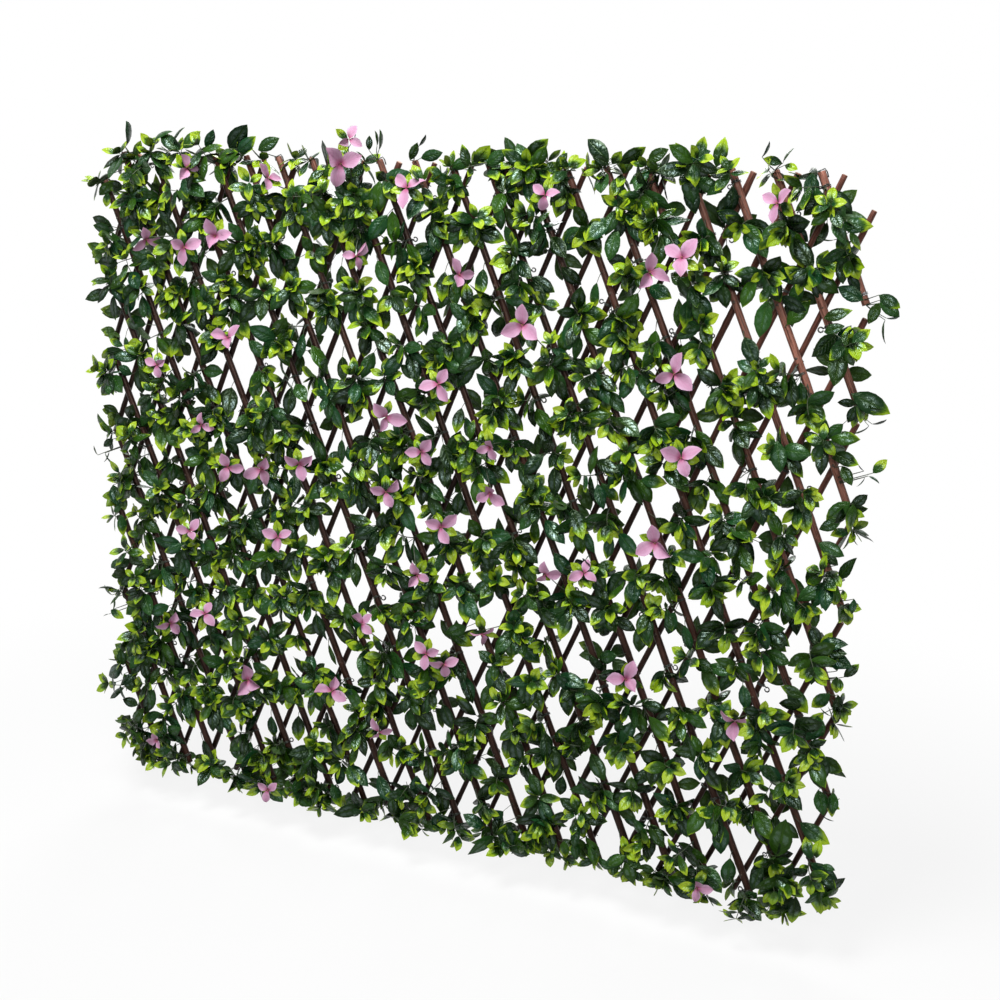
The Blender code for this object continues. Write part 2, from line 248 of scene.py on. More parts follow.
def makeLeafPlastic():
    look = {
        "darkBlue": paint(16, 54, 30), "darkGreen": paint(36, 66, 10),
        "mid": paint(76, 110, 18), "lime": paint(136, 168, 20), "pale": paint(160, 184, 44),
        "under": paint(62, 88, 36), "underShare": 0.55, "veinShare": 0.20,
        "shades": (0.25, 1.30),                  # how dark and how light a leaf may be
        "mottle": 42.0, "fine": 170.0,           # scales of the patches and of the grain
        "limeEdge": 1.30, "limeStep": 0.165,     # where the lime starts, by row of the sheet
        "limeBefore": 0.20, "limeAfter": 0.26,   # how softly it starts
        "ragged": 0.34, "lean": 0.26, "limeRim": 0.15, "limeRib": 0.08,
        "sheen": 0.08, "sheenMottle": 0.18, "sheenBulge": 0.10, "sheenUnder": 0.15,
        "dull": 0.16, "bright": 0.78,            # specular level off and on the bulge of each half
        "dullTint": (0.66, 0.90, 0.60, 1.0), "brightTint": (0.66, 0.89, 0.93, 1.0),
        "relief": {"rib": -0.7, "side": -0.45, "fine": 0.35, "mottle": 2.2}, "bump": (0.0009, 0.65),
    }
    material, tree = newMaterial("leafPlastic")
    spot, along, across, under, row, chance = bladeFields(tree)
    mottle, fine = noise(tree, spot, look["mottle"]), noise(tree, spot, look["fine"], 2.0)
    rib, side = takeAll(tree, "ShaderNodeGroup", {0: along, 1: across}, node_tree=veinGroup)
    # the sprayed lime tip, with a ragged edge that leans to one side
    start = look["limeEdge"] - row * look["limeStep"]
    rim = abs(across).maths("POWER", 1.6)
    at = along + (mottle - 0.5) * look["ragged"] + across * (chance[0] - 0.5) * look["lean"]
    at = at + (rim - 0.35) * look["limeRim"] - rib * look["limeRib"]
    tip = ease(at, start - look["limeBefore"], start + look["limeAfter"])
    dark = blend(tree, chance[1], look["darkBlue"], look["darkGreen"])
    dark = toned(tree, dark, ease(chance[2], 0.0, 1.0, *look["shades"]) * (mottle * 0.5 + 0.75))
    bright = blend(tree, chance[2], look["lime"], look["pale"])
    green = blend(tree, ease(tip, 0.0, 0.5), dark, look["mid"])
    green = blend(tree, ease(tip, 0.35, 1.0), green, bright)
    lines = (rib * 0.8).maths("MAXIMUM", side * 0.30)
    green = blend(tree, lines * look["veinShare"], green, look["mid"])
    green = blend(tree, under, green, blend(tree, look["underShare"], green, look["under"]))
    # each half bulges, and shines most on its bulge
    middle = ease(abs(along - 0.55), 0.36, 0.04)
    half = abs(abs(across) - 0.42)
    bulge = middle * ease(half, 0.44, 0.06) * ease(mottle, 0.30, 0.62)
    rough = mottle * look["sheenMottle"] + look["sheen"]
    rough = rough + bulge * look["sheenBulge"] + under * look["sheenUnder"]
    relief = look["relief"]
    height = rib * relief["rib"] + side * relief["side"] + fine * relief["fine"] + mottle * relief["mottle"]
    lay(tree, height, look["bump"], {
        "Base Color": green, "Roughness": rough,
        "Specular IOR Level": ease(bulge, 0.0, 0.8, look["dull"], look["bright"]),
        "Specular Tint": blend(tree, bulge, look["dullTint"], look["brightTint"])})
    return material


def makePetalCloth():
    look = {"body": paint(186, 140, 168), "edge": paint(203, 168, 194), "heart": paint(164, 78, 116),
            "vein": paint(184, 104, 152), "burnt": paint(140, 90, 78),
            "edgeShare": 0.7, "veinShare": 0.32, "burntShare": 0.55, "underShare": 0.18,
            "mottle": 60.0, "weave": 420.0, "roughness": 0.52, "specular": 0.22, "bump": (0.0005, 0.4)}
    material, tree = newMaterial("petalCloth")
    spot, along, across, under, _, chance = bladeFields(tree)
    rib, side = takeAll(tree, "ShaderNodeGroup", {0: along, 1: across, 2: 5.0, 3: 3.2}, node_tree=veinGroup)
    mottle, weave = noise(tree, spot, look["mottle"]), noise(tree, spot, look["weave"], 1.0)
    pink = blend(tree, ease(abs(across), 0.35, 1.0) * look["edgeShare"], look["body"], look["edge"])
    pink = blend(tree, ease(along, 0.34, 0.02), pink, look["heart"])
    lines = rib.maths("MAXIMUM", side) * look["veinShare"]
    pink = toned(tree, blend(tree, lines, pink, look["vein"]), mottle * 0.26 + 0.86)
    burnt = ease(along, 0.90, 1.0) * ease(chance[0], 0.45, 0.7)
    pink = blend(tree, burnt * look["burntShare"], pink, look["burnt"])
    pink = blend(tree, under * look["underShare"], pink, look["heart"])
    lay(tree, lines * 1.4 + weave * 0.4, look["bump"], {
        "Base Color": pink, "Roughness": mottle * 0.2 + look["roughness"],
        "Specular IOR Level": look["specular"]})
    return material


def makeSmallPlastic(name, first, second, roughness):
    # stems, loops and flower hearts: two tones laid on by the piece's own map
    look = {"mottle": 90.0, "bump": (0.0003, 0.5)}
    material, tree = newMaterial(name)
    spot, along, *_ = bladeFields(tree)
    mottle = noise(tree, spot, look["mottle"])
    colour = blend(tree, ease(along * 0.5 + mottle, 0.45, 1.0), first, second)
    lay(tree, mottle, look["bump"], {"Base Color": colour, "Roughness": mottle * 0.2 + roughness})
    return material


def buildStreakGroup():
    # bark streaks that run along a rod, and the small pores between them
    look = {"blotch": 38.0, "pores": 330.0, "poreStretch": 0.55, "poreEdge": (0.10, 0.24)}
    tree, given = groupTree(
        "bark streaks", "ShaderNodeTree",
        [("Place", "Vector", None), ("Fineness", "Float", 700.0), ("Stretch", "Float", 0.045)],
        [("Streak", "Float"), ("Blotch", "Float"), ("Pore", "Float")])
    scale = take(tree, "ShaderNodeCombineXYZ", {0: 1.0, 1: 1.0, 2: given["Stretch"]})
    streak = noise(tree, drawn(tree, given["Place"], scale), given["Fineness"], 4.0, 0.62)
    long = drawn(tree, given["Place"], (1.0, 1.0, look["poreStretch"]))
    dots = take(tree, "ShaderNodeTexVoronoi", {"Vector": long, "Scale": look["pores"]})
    blotch = noise(tree, given["Place"], look["blotch"])
    return giveOut(tree, streak, blotch, ease(dots, *look["poreEdge"], 1.0, 0.0))


def makeBark(name, look):
    shared = {"crackShare": 0.75, "poreShare": 0.45, "paintedLitShare": 0.75, "streakRough": 0.22, "specular": 0.22,
              "tint": (1.0, 0.72, 0.62, 1.0), "bump": (0.0007, 0.6)}
    material, tree = newMaterial(name)
    spot = take(tree, "ShaderNodeAttribute", None, "Vector", attribute_name="barkPlace")
    streak, blotch, pore = takeAll(tree, "ShaderNodeGroup", {0: spot}, node_tree=streakGroup)
    # painted light: the bark is painted a paler pink where the rod is lit, to the right and at the top ends,
    # and darker below as painted shade
    exposed = take(tree, "ShaderNodeAttribute", None, "Fac", attribute_name="weathered")
    colour = blend(tree, ease(streak, 0.34, 0.66), look["deep"], look["red"])
    for share, paintName in (
            (ease(blotch, 0.42, 0.70) * look["bloomShare"], "bloom"),
            (ease(streak, 0.42, 0.30) * shared["crackShare"], "crack"),
            (pore * shared["poreShare"], "pore"),
            (exposed * ease(streak, 0.36, 0.60, 0.20, 1.0) * shared["paintedLitShare"], "paintedLitTone")):
        colour = blend(tree, share, colour, look[paintName])
    lay(tree, streak + pore * 0.5, shared["bump"], {
        "Base Color": colour, "Roughness": streak * shared["streakRough"] + look["roughness"],
        "Specular IOR Level": shared["specular"], "Specular Tint": shared["tint"]})
    return material


def makeCutWood():
    look = {"pale": paint(196, 158, 128), "ring": paint(140, 96, 72), "pith": paint(98, 62, 46),
            "fibre": 1500.0, "rings": 5200.0, "ringWobble": 3.0, "pithEdge": (0.0011, 0.0006),
            "roughness": 0.6, "bump": (0.0005, 0.7)}
    material, tree = newMaterial("cutWood")
    spot = take(tree, "ShaderNodeAttribute", None, "Vector", attribute_name="endPlace")
    flat = drawn(tree, spot, (1.0, 1.0, 0.0))
    away = take(tree, "ShaderNodeVectorMath", {0: flat}, "Value", operation="LENGTH")
    fibre = noise(tree, spot, look["fibre"])
    rings = (away * look["rings"] + fibre * look["ringWobble"]).maths("SINE")
    colour = blend(tree, ease(rings, -0.4, 0.9), look["pale"], look["ring"])
    colour = blend(tree, ease(away, *look["pithEdge"]), colour, look["pith"])
    colour = blend(tree, ease(fibre, 0.5, 0.75), colour, look["ring"])
    lay(tree, fibre, look["bump"], {"Base Color": colour, "Roughness": fibre * 0.3 + look["roughness"]})
    return material


def makeSteel(name, look):
    shared = {"grime": 900.0, "grimeEdge": (0.45, 0.68), "grimeRough": 0.3, "bump": (0.0002, 0.4)}
    material, tree = newMaterial(name)
    grime = noise(tree, take(tree, "ShaderNodeTexCoord", None, "Object"), shared["grime"])
    lay(tree, grime, shared["bump"], {
        "Base Color": blend(tree, ease(grime, *shared["grimeEdge"]), look["bright"], look["dull"]),
        "Roughness": grime * shared["grimeRough"] + look["roughness"], "Metallic": 1.0})
    return material


cellGroup, veinGroup, streakGroup = buildCellGroup(), buildVeinGroup(), buildStreakGroup()
leafPlastic, petalCloth = makeLeafPlastic(), makePetalCloth()
stemPlastic = makeSmallPlastic("stemPlastic", paint(20, 34, 20), paint(52, 66, 30), 0.45)
loopPlastic = makeSmallPlastic("loopPlastic", paint(16, 20, 16), paint(38, 44, 34), 0.35)
heartPlastic = makeSmallPlastic("heartPlastic", paint(92, 46, 52), paint(170, 112, 82), 0.5)
# the last, palest tone of each bark is a painted highlight, laid where the rod is lit
frontBark = makeBark("frontBark", {
    "deep": paint(17, 10, 8), "red": paint(42, 24, 18), "bloom": paint(92, 58, 48), "bloomShare": 0.26,
    "crack": paint(20, 11, 8), "pore": paint(112, 78, 62), "paintedLitTone": paint(186, 126, 108), "roughness": 0.26})
# painted shade: the rear rods' bark is a darker copy of the front rods' bark, for the shade they lie in
rearBark = makeBark("rearBark", {
    "deep": paint(14, 9, 7), "red": paint(28, 17, 14), "bloom": paint(66, 42, 36), "bloomShare": 0.35,
    "crack": paint(13, 8, 7), "pore": paint(70, 47, 39), "paintedLitTone": paint(132, 82, 69), "roughness": 0.34})
cutWood = makeCutWood()
nailSteel = makeSteel("nailSteel", {
    "bright": paint(96, 84, 76), "dull": paint(58, 46, 40), "roughness": 0.42})
wireSteel = makeSteel("wireSteel", {
    "bright": paint(206, 208, 210), "dull": paint(120, 118, 116), "roughness": 0.20})
print("finishes made")


# shapes that repeat

shapes = bpy.data.collections.new("spray shapes")


def smallMesh(name, points, faces, material, spots=None):
    # a smooth mesh with its faces turned outwards
    mesh = bpy.data.meshes.new(name)
    mesh.from_pydata([tuple(p) for p in points], [], faces)
    if spots:
        mesh.uv_layers.new(name=mapName).data.foreach_set("uv", np.array(spots, float).ravel())
    work = bmesh.new()
    work.from_mesh(mesh)
    bmesh.ops.recalc_face_normals(work, faces=work.faces)
    work.to_mesh(mesh)
    work.free()
    mesh.materials.append(material)
    mesh.shade_smooth()
    return mesh


def addShape(name, points, faces, spots, material, creased=()):
    mesh = smallMesh(name, points, faces, material, spots)
    if creased:
        sharp = mesh.attributes.new("sharp_edge", "BOOLEAN", "EDGE")
        pairs = {frozenset(pair) for pair in creased}
        sharp.data.foreach_set("value", [frozenset(e.vertices) in pairs for e in mesh.edges])
    mesh.update()
    shapes.objects.link(bpy.data.objects.new(name, mesh))


def widthAt(share, widest, blunt):
    # half width of a blade along its length, 1 at the widest
    if share < widest:
        return math.sin(math.pi / 2 * (share / widest)) ** 0.75
    return max(0.0, math.cos(math.pi / 2 * ((share - widest) / (1 - widest)) ** blunt))


bladeGrid = {"alongs": (0.0, 0.13, 0.30, 0.48, 0.67, 0.86), "acrosses": (-1.0, -0.5, 0.0, 0.5, 1.0),
             "waves": 9.0}


def addBlade(name, look, material):
    # a thin closed blade: foot at the origin, tip along +Y, face up +Z
    alongs, acrosses = bladeGrid["alongs"], bladeGrid["acrosses"]
    rows, last = len(alongs), len(acrosses) - 1
    length, half = look["length"], look["width"] / 2

    def bladePoint(along, across, drop=0.0):
        wide = max(look["neck"], half * widthAt(along, look["widest"], look["blunt"])) * across
        wide = 0.0 if along >= 1.0 else wide
        bend, turned = look["curl"] * along, look["twist"] * along
        lift = abs(wide) * math.tan(look["fold"]) - look["cup"] * abs(across) ** 2 * abs(wide)
        lift += look["wave"] * half * math.sin(along * bladeGrid["waves"] + across) * abs(across)
        lift -= drop
        x = wide * math.cos(turned) - lift * math.sin(turned)
        z = wide * math.sin(turned) + lift * math.cos(turned)
        isBent = abs(bend) > 1e-4
        run = length * (math.sin(bend) / bend if isBent else 1.0) * along
        fall = length * ((1 - math.cos(bend)) / bend if isBent else 0.0) * along
        return (x, run + z * math.sin(bend), -fall + z * math.cos(bend))

    points, top, low = [], {}, {}
    for r, along in enumerate(alongs):
        for c, across in enumerate(acrosses):
            top[r, c] = low[r, c] = len(points)
            points.append(bladePoint(along, across))
            if r and 0 < c < last:
                low[r, c] = len(points)
                points.append(bladePoint(along, across, look["thick"]))
    tipPoint = len(points)
    points.append(bladePoint(1.0, 0.0))
    faces, spots = [], []

    def spotOf(along, across, side):
        margin = bladeMap["margin"]
        return (margin + bladeMap["wide"] * (across + 1) / 2 + 0.5 * side, margin + bladeMap["long"] * along)

    for side, grid in enumerate((top, low)):
        for r in range(rows):
            for c in range(last):
                a, b = (alongs[r], acrosses[c]), (alongs[r], acrosses[c + 1])
                if r + 1 < rows:
                    corners = [grid[r, c], grid[r, c + 1], grid[r + 1, c + 1], grid[r + 1, c]]
                    places = [a, b, (alongs[r + 1], b[1]), (alongs[r + 1], a[1])]
                else:
                    corners = [grid[r, c], grid[r, c + 1], tipPoint]
                    places = [a, b, (1.0, (a[1] + b[1]) / 2)]
                if side:
                    corners, places = corners[::-1], places[::-1]
                faces.append(corners)
                spots += [spotOf(along, across, side) for along, across in places]
    creased = []
    for edge in ([top[0, c] for c in range(last + 1)],
                 *([top[r, c] for r in range(rows)] + [tipPoint] for c in (0, last))):
        creased += zip(edge, edge[1:])
    addShape(name, points, faces, spots, material, creased)


broad = {"length": 0.042, "width": 0.0210, "widest": 0.46, "blunt": 1.25, "neck": 0.0006, "thick": 0.0007,
         "fold": 0.24, "cup": 0.40, "curl": 0.55, "twist": 0.0, "wave": 0.05}
young = {"length": 0.027, "width": 0.0145, "widest": 0.48, "blunt": 1.25, "neck": 0.0005, "thick": 0.0006,
         "fold": 0.46, "cup": 0.22, "curl": -0.35, "twist": 0.0, "wave": 0.05}
petal = {"length": 0.029, "width": 0.0190, "widest": 0.52, "blunt": 1.12, "neck": 0.0008, "thick": 0.0005,
         "fold": 0.36, "cup": 0.06, "curl": 0.30, "twist": 0.0, "wave": 0.10}
bladeKinds = [
    ("shape00_broad", broad, leafPlastic),
    ("shape01_curled", dict(broad, curl=1.15, width=0.0205, fold=0.14, cup=0.45), leafPlastic),
    ("shape02_twisted", dict(broad, twist=0.7, curl=0.35, width=0.0200, fold=0.34), leafPlastic),
    ("shape03_straight", dict(broad, curl=0.15, fold=0.38, cup=0.34, widest=0.42, width=0.0225), leafPlastic),
    ("shape04_youngUp", young, leafPlastic),
    ("shape05_youngFlat", dict(young, curl=0.10, fold=0.28, width=0.0155), leafPlastic),
    ("shape06_youngCurled", dict(young, curl=0.75, fold=0.30, twist=-0.4), leafPlastic),
    ("shape07_petalOpen", petal, petalCloth),
    ("shape08_petalCurled", dict(petal, curl=0.9, twist=0.55, wave=0.14), petalCloth),
    ("shape09_petalFolded", dict(petal, curl=-0.35, fold=0.85, twist=-0.35, width=0.0200), petalCloth),
]
for shapeName, shapeLook, shapeFinish in bladeKinds:
    addBlade(shapeName, shapeLook, shapeFinish)


def addTube(name, path, radius, sides, material):
    # a bent tube for loops and ties, its seam hidden by a map that folds back on itself
    points, faces, spots = [], [], []
    count, aslant = len(path), Vector((0.31, 0.18, 0.93))
    for i, place in enumerate(path):
        forward = (Vector(path[min(i + 1, count - 1)]) - Vector(path[max(i - 1, 0)])).normalized()
        sideways = forward.cross(aslant).normalized()
        upward = sideways.cross(forward)
        for k in range(sides):
            angle = math.tau * k / sides
            points.append(Vector(place) + radius * (sideways * math.cos(angle) + upward * math.sin(angle)))
    for i in range(count - 1):
        for k in range(sides):
            a, b = i * sides + k, i * sides + (k + 1) % sides
            faces.append([a, b, b + sides, a + sides])
            for spin, step in ((k, i), (k + 1, i), (k + 1, i + 1), (k, i + 1)):
                spots.append((0.1 + 0.8 * abs(2 * (spin / sides) - 1), 0.1 + 0.8 * step / count))
    faces += [list(range(sides))[::-1], [(count - 1) * sides + k for k in range(sides)]]
    spots += [(0.5, 0.12)] * sides + [(0.5, 0.88)] * sides
    addShape(name, points, faces, spots, material)


def winding(look, middle=(0.0, 0.0), first=0.0):
    # points round a circle, rising as they go
    angles = [first + math.tau * look["turns"] * k / look["steps"] for k in range(look["count"])]
    return [(middle[0] + look["around"] * math.cos(a), middle[1] + look["around"] * math.sin(a),
             look["rise"] * (a / math.tau - look["start"])) for a in angles]


# the eye of a wire, and a tie round a rod
eye = {"around": 0.0030, "thick": 0.0010, "tail": 0.006, "lift": 0.0006, "turns": 1, "steps": 9, "count": 9,
       "rise": 0.0, "start": 0.0}
tie = {"around": 0.0057, "thick": 0.0008, "turns": 1.9, "steps": 13, "count": 14,
       "rise": 0.0019, "start": 0.95}
# a black clip over a rod's end, and a steel wire wound round a rod
clip = {"wide": 0.0062, "over": 0.0016, "thick": 0.0008, "short": -0.0035, "kink": -0.0030, "long": -0.0095}
wrap = {"around": 0.0060, "thick": 0.00055, "turns": 3.2, "steps": 29, "count": 30,
        "rise": 0.0015, "start": 0.0, "end": (0.004, 0.002, 0.002)}
wide, wrapPath = clip["wide"], winding(wrap)
for name, look, path, finish in (
        ("shape11_eye", eye, [(0, 0, 0), (0, eye["tail"] * 0.5, eye["lift"])]
         + winding(eye, (0.0, eye["tail"]), -math.pi / 2), loopPlastic),
        ("shape12_tie", tie, winding(tie), loopPlastic),
        ("shape13_clip", clip, [(-wide, clip["short"], 0), (-wide, clip["over"], 0),
                                (wide * 0.9, clip["over"], 0), (wide * 1.1, clip["kink"], 0),
                                (wide, clip["long"], 0)], loopPlastic),
        ("shape14_wrap", wrap, wrapPath + [tuple(map(sum, zip(wrapPath[-1], wrap["end"])))], wireSteel)):
    addTube(name, path, look["thick"], 4, finish)


def addHeart():
    # three short stamens in a low cup
    look = {"out": 0.0013, "rings": ((-0.002, 0.0007, 0.6), (0.0025, 0.0008, 1.0), (0.0050, 0.0011, 1.5)),
            "tipSpread": 1.6, "tip": 0.0060}
    points, faces, spots = [], [], []
    for k in range(3):
        angle, first = math.tau * k / 3, len(points)
        centre = Vector((look["out"] * math.cos(angle), look["out"] * math.sin(angle), 0.0))
        for height, radius, spread in look["rings"]:
            for turn in (math.tau * s / 4 for s in range(4)):
                corner = Vector((radius * math.cos(turn), radius * math.sin(turn), height))
                points.append(centre * spread + corner)
        points.append(centre * look["tipSpread"] + Vector((0, 0, look["tip"])))
        for ring in range(2):
            low, high = 0.1 + 0.4 * ring, 0.5 + 0.4 * ring
            for s in range(4):
                a, b = first + ring * 4 + s, first + ring * 4 + (s + 1) % 4
                faces.append([a, b, b + 4, a + 4])
                spots += [(0.3, low), (0.7, low), (0.7, high), (0.3, high)]
        for s in range(4):
            faces.append([first + 8 + s, first + 8 + (s + 1) % 4, first + 12])
            spots += [(0.3, 0.85), (0.7, 0.85), (0.5, 0.95)]
        faces.append([first + 3, first + 2, first + 1, first])
        spots += [(0.4, 0.05), (0.6, 0.05), (0.6, 0.1), (0.4, 0.1)]
    addShape("shape10_heart", points, faces, spots, heartPlastic)


addHeart()

shapeNumbers = {name: number for number, name in enumerate(sorted(o.name for o in shapes.objects))}
largeKinds, youngKinds, petalKinds = (0, 1, 2, 3), (4, 5, 6), (7, 7, 8, 8, 9)
heartKind, eyeKind, tieKind, clipKind, wrapKind = (shapeNumbers[n] for n in (
    "shape10_heart", "shape11_eye", "shape12_tie", "shape13_clip", "shape14_wrap"))
print("blades, petals and loops made:", len(shapeNumbers))


# trees that lay the shapes out

def named(tree, name, kind="FLOAT"):
    return take(tree, "GeometryNodeInputNamedAttribute", {"Name": name}, data_type=kind)


def stored(tree, mesh, name, value, kind="FLOAT", domain="POINT"):
    # a mesh that also holds a named field
    return take(tree, "GeometryNodeStoreNamedAttribute", {0: mesh, 2: name, 3: value},
                data_type=kind, domain=domain)


def divided(tree, mesh, name):
    # the points whose field of this name is 1, and the rest
    chosen = take(tree, "FunctionNodeCompare", {0: named(tree, name), 1: 0.5}, operation="GREATER_THAN")
    return takeAll(tree, "GeometryNodeSeparateGeometry", {0: mesh, 1: chosen}, domain="POINT")


def joined(tree, *meshes):
    node = tree.nodes.new("GeometryNodeJoinGeometry")
    for mesh in meshes:
        join(mesh, node.inputs[0])
    return Value(node.outputs[0])


def finished(tree, mesh, material, chosen=True):
    # a mesh, or the chosen faces of it, in a material
    return take(tree, "GeometryNodeSetMaterial", {0: mesh, 1: chosen, 2: material})


def buildSprayTree():
    # loose points carry blades, petals and loops; edges are stems
    look = {"taper": 0.4, "stemCell": (5.0, 7.0), "mapEdge": 0.1, "mapSpan": 0.8}
    tree, given = groupTree(
        "leaf spray", "GeometryNodeTree",
        [("Geometry", "Geometry", None), ("Shapes", "Collection", None),
         ("Blade Size", "Float", 1.0), ("Size Spread", "Float", 0.08),
         ("Stem Thickness", "Float", 0.0009), ("Stem Sides", "Int", 4),
         ("Seed", "Int", 5), ("Stem Finish", "Material", None)],
        [("Geometry", "Geometry")])
    points, lines, *_ = divided(tree, given["Geometry"], "blade")
    chosen = take(tree, "GeometryNodeCollectionInfo",
                  {0: given["Shapes"], 1: True, 2: True}, transform_space="ORIGINAL")
    spread = given["Size Spread"]
    grown = take(tree, "FunctionNodeRandomValue", {2: 1.0 - spread, 3: spread + 1.0, 8: given["Seed"]},
                 "Value", data_type="FLOAT")
    laid = take(tree, "GeometryNodeInstanceOnPoints", {
        0: points, 2: chosen, 3: True, 4: named(tree, "kind", "INT"), 5: named(tree, "turn", "QUATERNION"),
        6: named(tree, "size") * grown * given["Blade Size"]})
    solid = take(tree, "GeometryNodeRealizeInstances", {0: laid})
    shift = take(tree, "ShaderNodeVectorMath", {
        0: named(tree, mapName, "FLOAT_VECTOR"), 1: named(tree, "cell", "FLOAT_VECTOR")}, operation="ADD")
    sheet = take(tree, "ShaderNodeVectorMath", {0: shift, "Scale": 1.0 / sheetCells}, operation="SCALE")
    blades = stored(tree, solid, mapName, sheet, "FLOAT2", "CORNER")
    # stems: thinner towards their ends
    factor = take(tree, "GeometryNodeSplineParameter")
    line = stored(tree, take(tree, "GeometryNodeMeshToCurve", {0: lines}), "stemAlong", factor)
    ring = take(tree, "GeometryNodeCurvePrimitiveCircle", {0: given["Stem Sides"], 4: 1.0}, mode="RADIUS")
    ring = stored(tree, ring, "stemAround", abs(factor * 2.0 - 1.0))
    thick = named(tree, "size") * given["Stem Thickness"] * (1.0 - named(tree, "stemAlong") * look["taper"])
    swept = take(tree, "GeometryNodeCurveToMesh", {0: line, 1: ring, 2: thick, 3: True})
    place = [(named(tree, name) * look["mapSpan"] + look["mapEdge"] + cell).maths("DIVIDE", float(sheetCells))
             for name, cell in zip(("stemAround", "stemAlong"), look["stemCell"])]
    corner = take(tree, "ShaderNodeCombineXYZ", dict(enumerate(place)))
    stems = stored(tree, swept, mapName, corner, "FLOAT2", "CORNER")
    return giveOut(tree, joined(tree, finished(tree, stems, given["Stem Finish"]), blades))


def buildRodTree():
    # an edge path becomes a bark-covered rod with sawn ends; loose points carry nails
    look = {"ridgeStretch": (1.0, 1.0, 0.16), "barkCorners": 4}
    tree, given = groupTree(
        "willow rod", "GeometryNodeTree",
        [("Geometry", "Geometry", None), ("Sides", "Int", 12),
         ("Axis Depth", "Float", 0.0), ("Squeeze", "Float", 0.95),
         ("Ridge Height", "Float", 0.00022), ("Ridge Scale", "Float", 300.0),
         ("Seed", "Float", 3.0), ("Bark", "Material", None),
         ("Sawn End", "Material", None), ("Nail", "Object", None)],
        [("Geometry", "Geometry")])
    points, lines, *_ = divided(tree, given["Geometry"], "nail")
    line = take(tree, "GeometryNodeMeshToCurve", {0: lines})
    ring = take(tree, "GeometryNodeCurvePrimitiveCircle", {0: given["Sides"], 4: 1.0}, mode="RADIUS")
    rod = take(tree, "GeometryNodeCurveToMesh", {0: line, 1: ring, 2: named(tree, "thick"), 3: True})
    place = take(tree, "GeometryNodeInputPosition")
    ridges = take(tree, "ShaderNodeTexNoise", {
        "Vector": drawn(tree, place, look["ridgeStretch"]), "W": given["Seed"],
        "Scale": given["Ridge Scale"], "Detail": 2.0}, noise_dimensions="4D")
    push = (ridges - 0.5) * (given["Ridge Height"] * 2.0)
    away = take(tree, "GeometryNodeInputNormal")
    offset = take(tree, "ShaderNodeVectorMath", {0: away, "Scale": push}, operation="SCALE")
    rod = take(tree, "GeometryNodeSetPosition", {0: rod, 3: offset})
    x, y, z = takeAll(tree, "ShaderNodeSeparateXYZ", {0: place})
    depth = given["Axis Depth"] + (y - given["Axis Depth"]) * given["Squeeze"]
    flat = take(tree, "ShaderNodeCombineXYZ", {0: x, 1: depth, 2: z})
    rod = finished(tree, take(tree, "GeometryNodeSetPosition", {0: rod, 2: flat}), given["Bark"])
    corners = take(tree, "GeometryNodeCornersOfFace", {0: take(tree, "GeometryNodeInputIndex")}, 1)
    isEnd = take(tree, "FunctionNodeCompare", {2: corners, 3: look["barkCorners"]},
                 data_type="INT", operation="GREATER_THAN")
    rod = finished(tree, rod, given["Sawn End"], isEnd)
    nail = take(tree, "GeometryNodeObjectInfo", {0: given["Nail"], 1: True}, "Geometry",
                transform_space="ORIGINAL")
    laid = take(tree, "GeometryNodeInstanceOnPoints", {
        0: points, 2: nail, 5: named(tree, "turn", "QUATERNION"), 6: named(tree, "thick")})
    nails = take(tree, "GeometryNodeRealizeInstances", {0: laid})
    return giveOut(tree, joined(tree, nails, rod))


def makeNail():
    # domed head at the front, shank through both rods, and a clenched point at the back
    shape = {"head": 0.0020, "dome": 0.0006, "shank": 0.0009, "front": -0.0094, "back": 0.0090,
             "bent": 0.0046, "sides": 8}
    head, shank, front, back = (shape[k] for k in ("head", "shank", "front", "back"))
    sides, upright, leaning, lying = shape["sides"], (0, 0, 1), (0, -0.7, 0.7), (0, -1, 0.1)
    rings = [                # depth, rise, way of the ring's second side, radius
        (front - shape["dome"], 0, upright, 0.0008), (front - shape["dome"] * 0.7, 0, upright, 0.0016),
        (front - 0.0001, 0, upright, head), (front + 0.0002, 0, upright, head * 0.96),
        (front + 0.0003, 0, upright, shank), (back, 0, upright, shank),
        (back + 0.0009, 0.0007, leaning, shank), (back + 0.0006, shape["bent"], lying, shank * 0.5)]
    points = [Vector((0, depth, rise)) + radius * (
        Vector((1, 0, 0)) * math.cos(math.tau * k / sides) + Vector(way) * math.sin(math.tau * k / sides))
        for depth, rise, way, radius in rings for k in range(sides)]
    faces = [(r + k, r + (k + 1) % sides, r + sides + (k + 1) % sides, r + sides + k)
             for r in range(0, (len(rings) - 1) * sides, sides) for k in range(sides)]
    faces += [range(sides), range(len(points) - sides, len(points))]
    return bpy.data.objects.new("nail", smallMesh("nail", points, faces, nailSteel))


sprayTree, rodTree, nailShape = buildSprayTree(), buildRodTree(), makeNail()


def grow(name, mesh, tree, values):
    # runs a tree on a starting mesh and keeps the result as a plain mesh
    source = show(name + "_start", mesh)
    modifier = source.modifiers.new("grow", "NODES")
    modifier.node_group = tree
    for socket in tree.interface.items_tree:
        if socket.in_out == "INPUT" and socket.name in values:
            modifier[socket.identifier] = values[socket.name]
    depsgraph = bpy.context.evaluated_depsgraph_get()
    made = bpy.data.meshes.new_from_object(source.evaluated_get(depsgraph), preserve_all_data_layers=True,
                                           depsgraph=depsgraph)
    bpy.data.objects.remove(source)
    made.name = name
    return show(name, made)


def startMesh(name, points, edges, fields):
    # a mesh of points and edges with named fields: (kind, values)
    mesh = bpy.data.meshes.new(name)
    mesh.from_pydata([tuple(p) for p in points], edges, [])
    for label, (kind, values) in fields.items():
        store(mesh, label, kind, values)
    return mesh


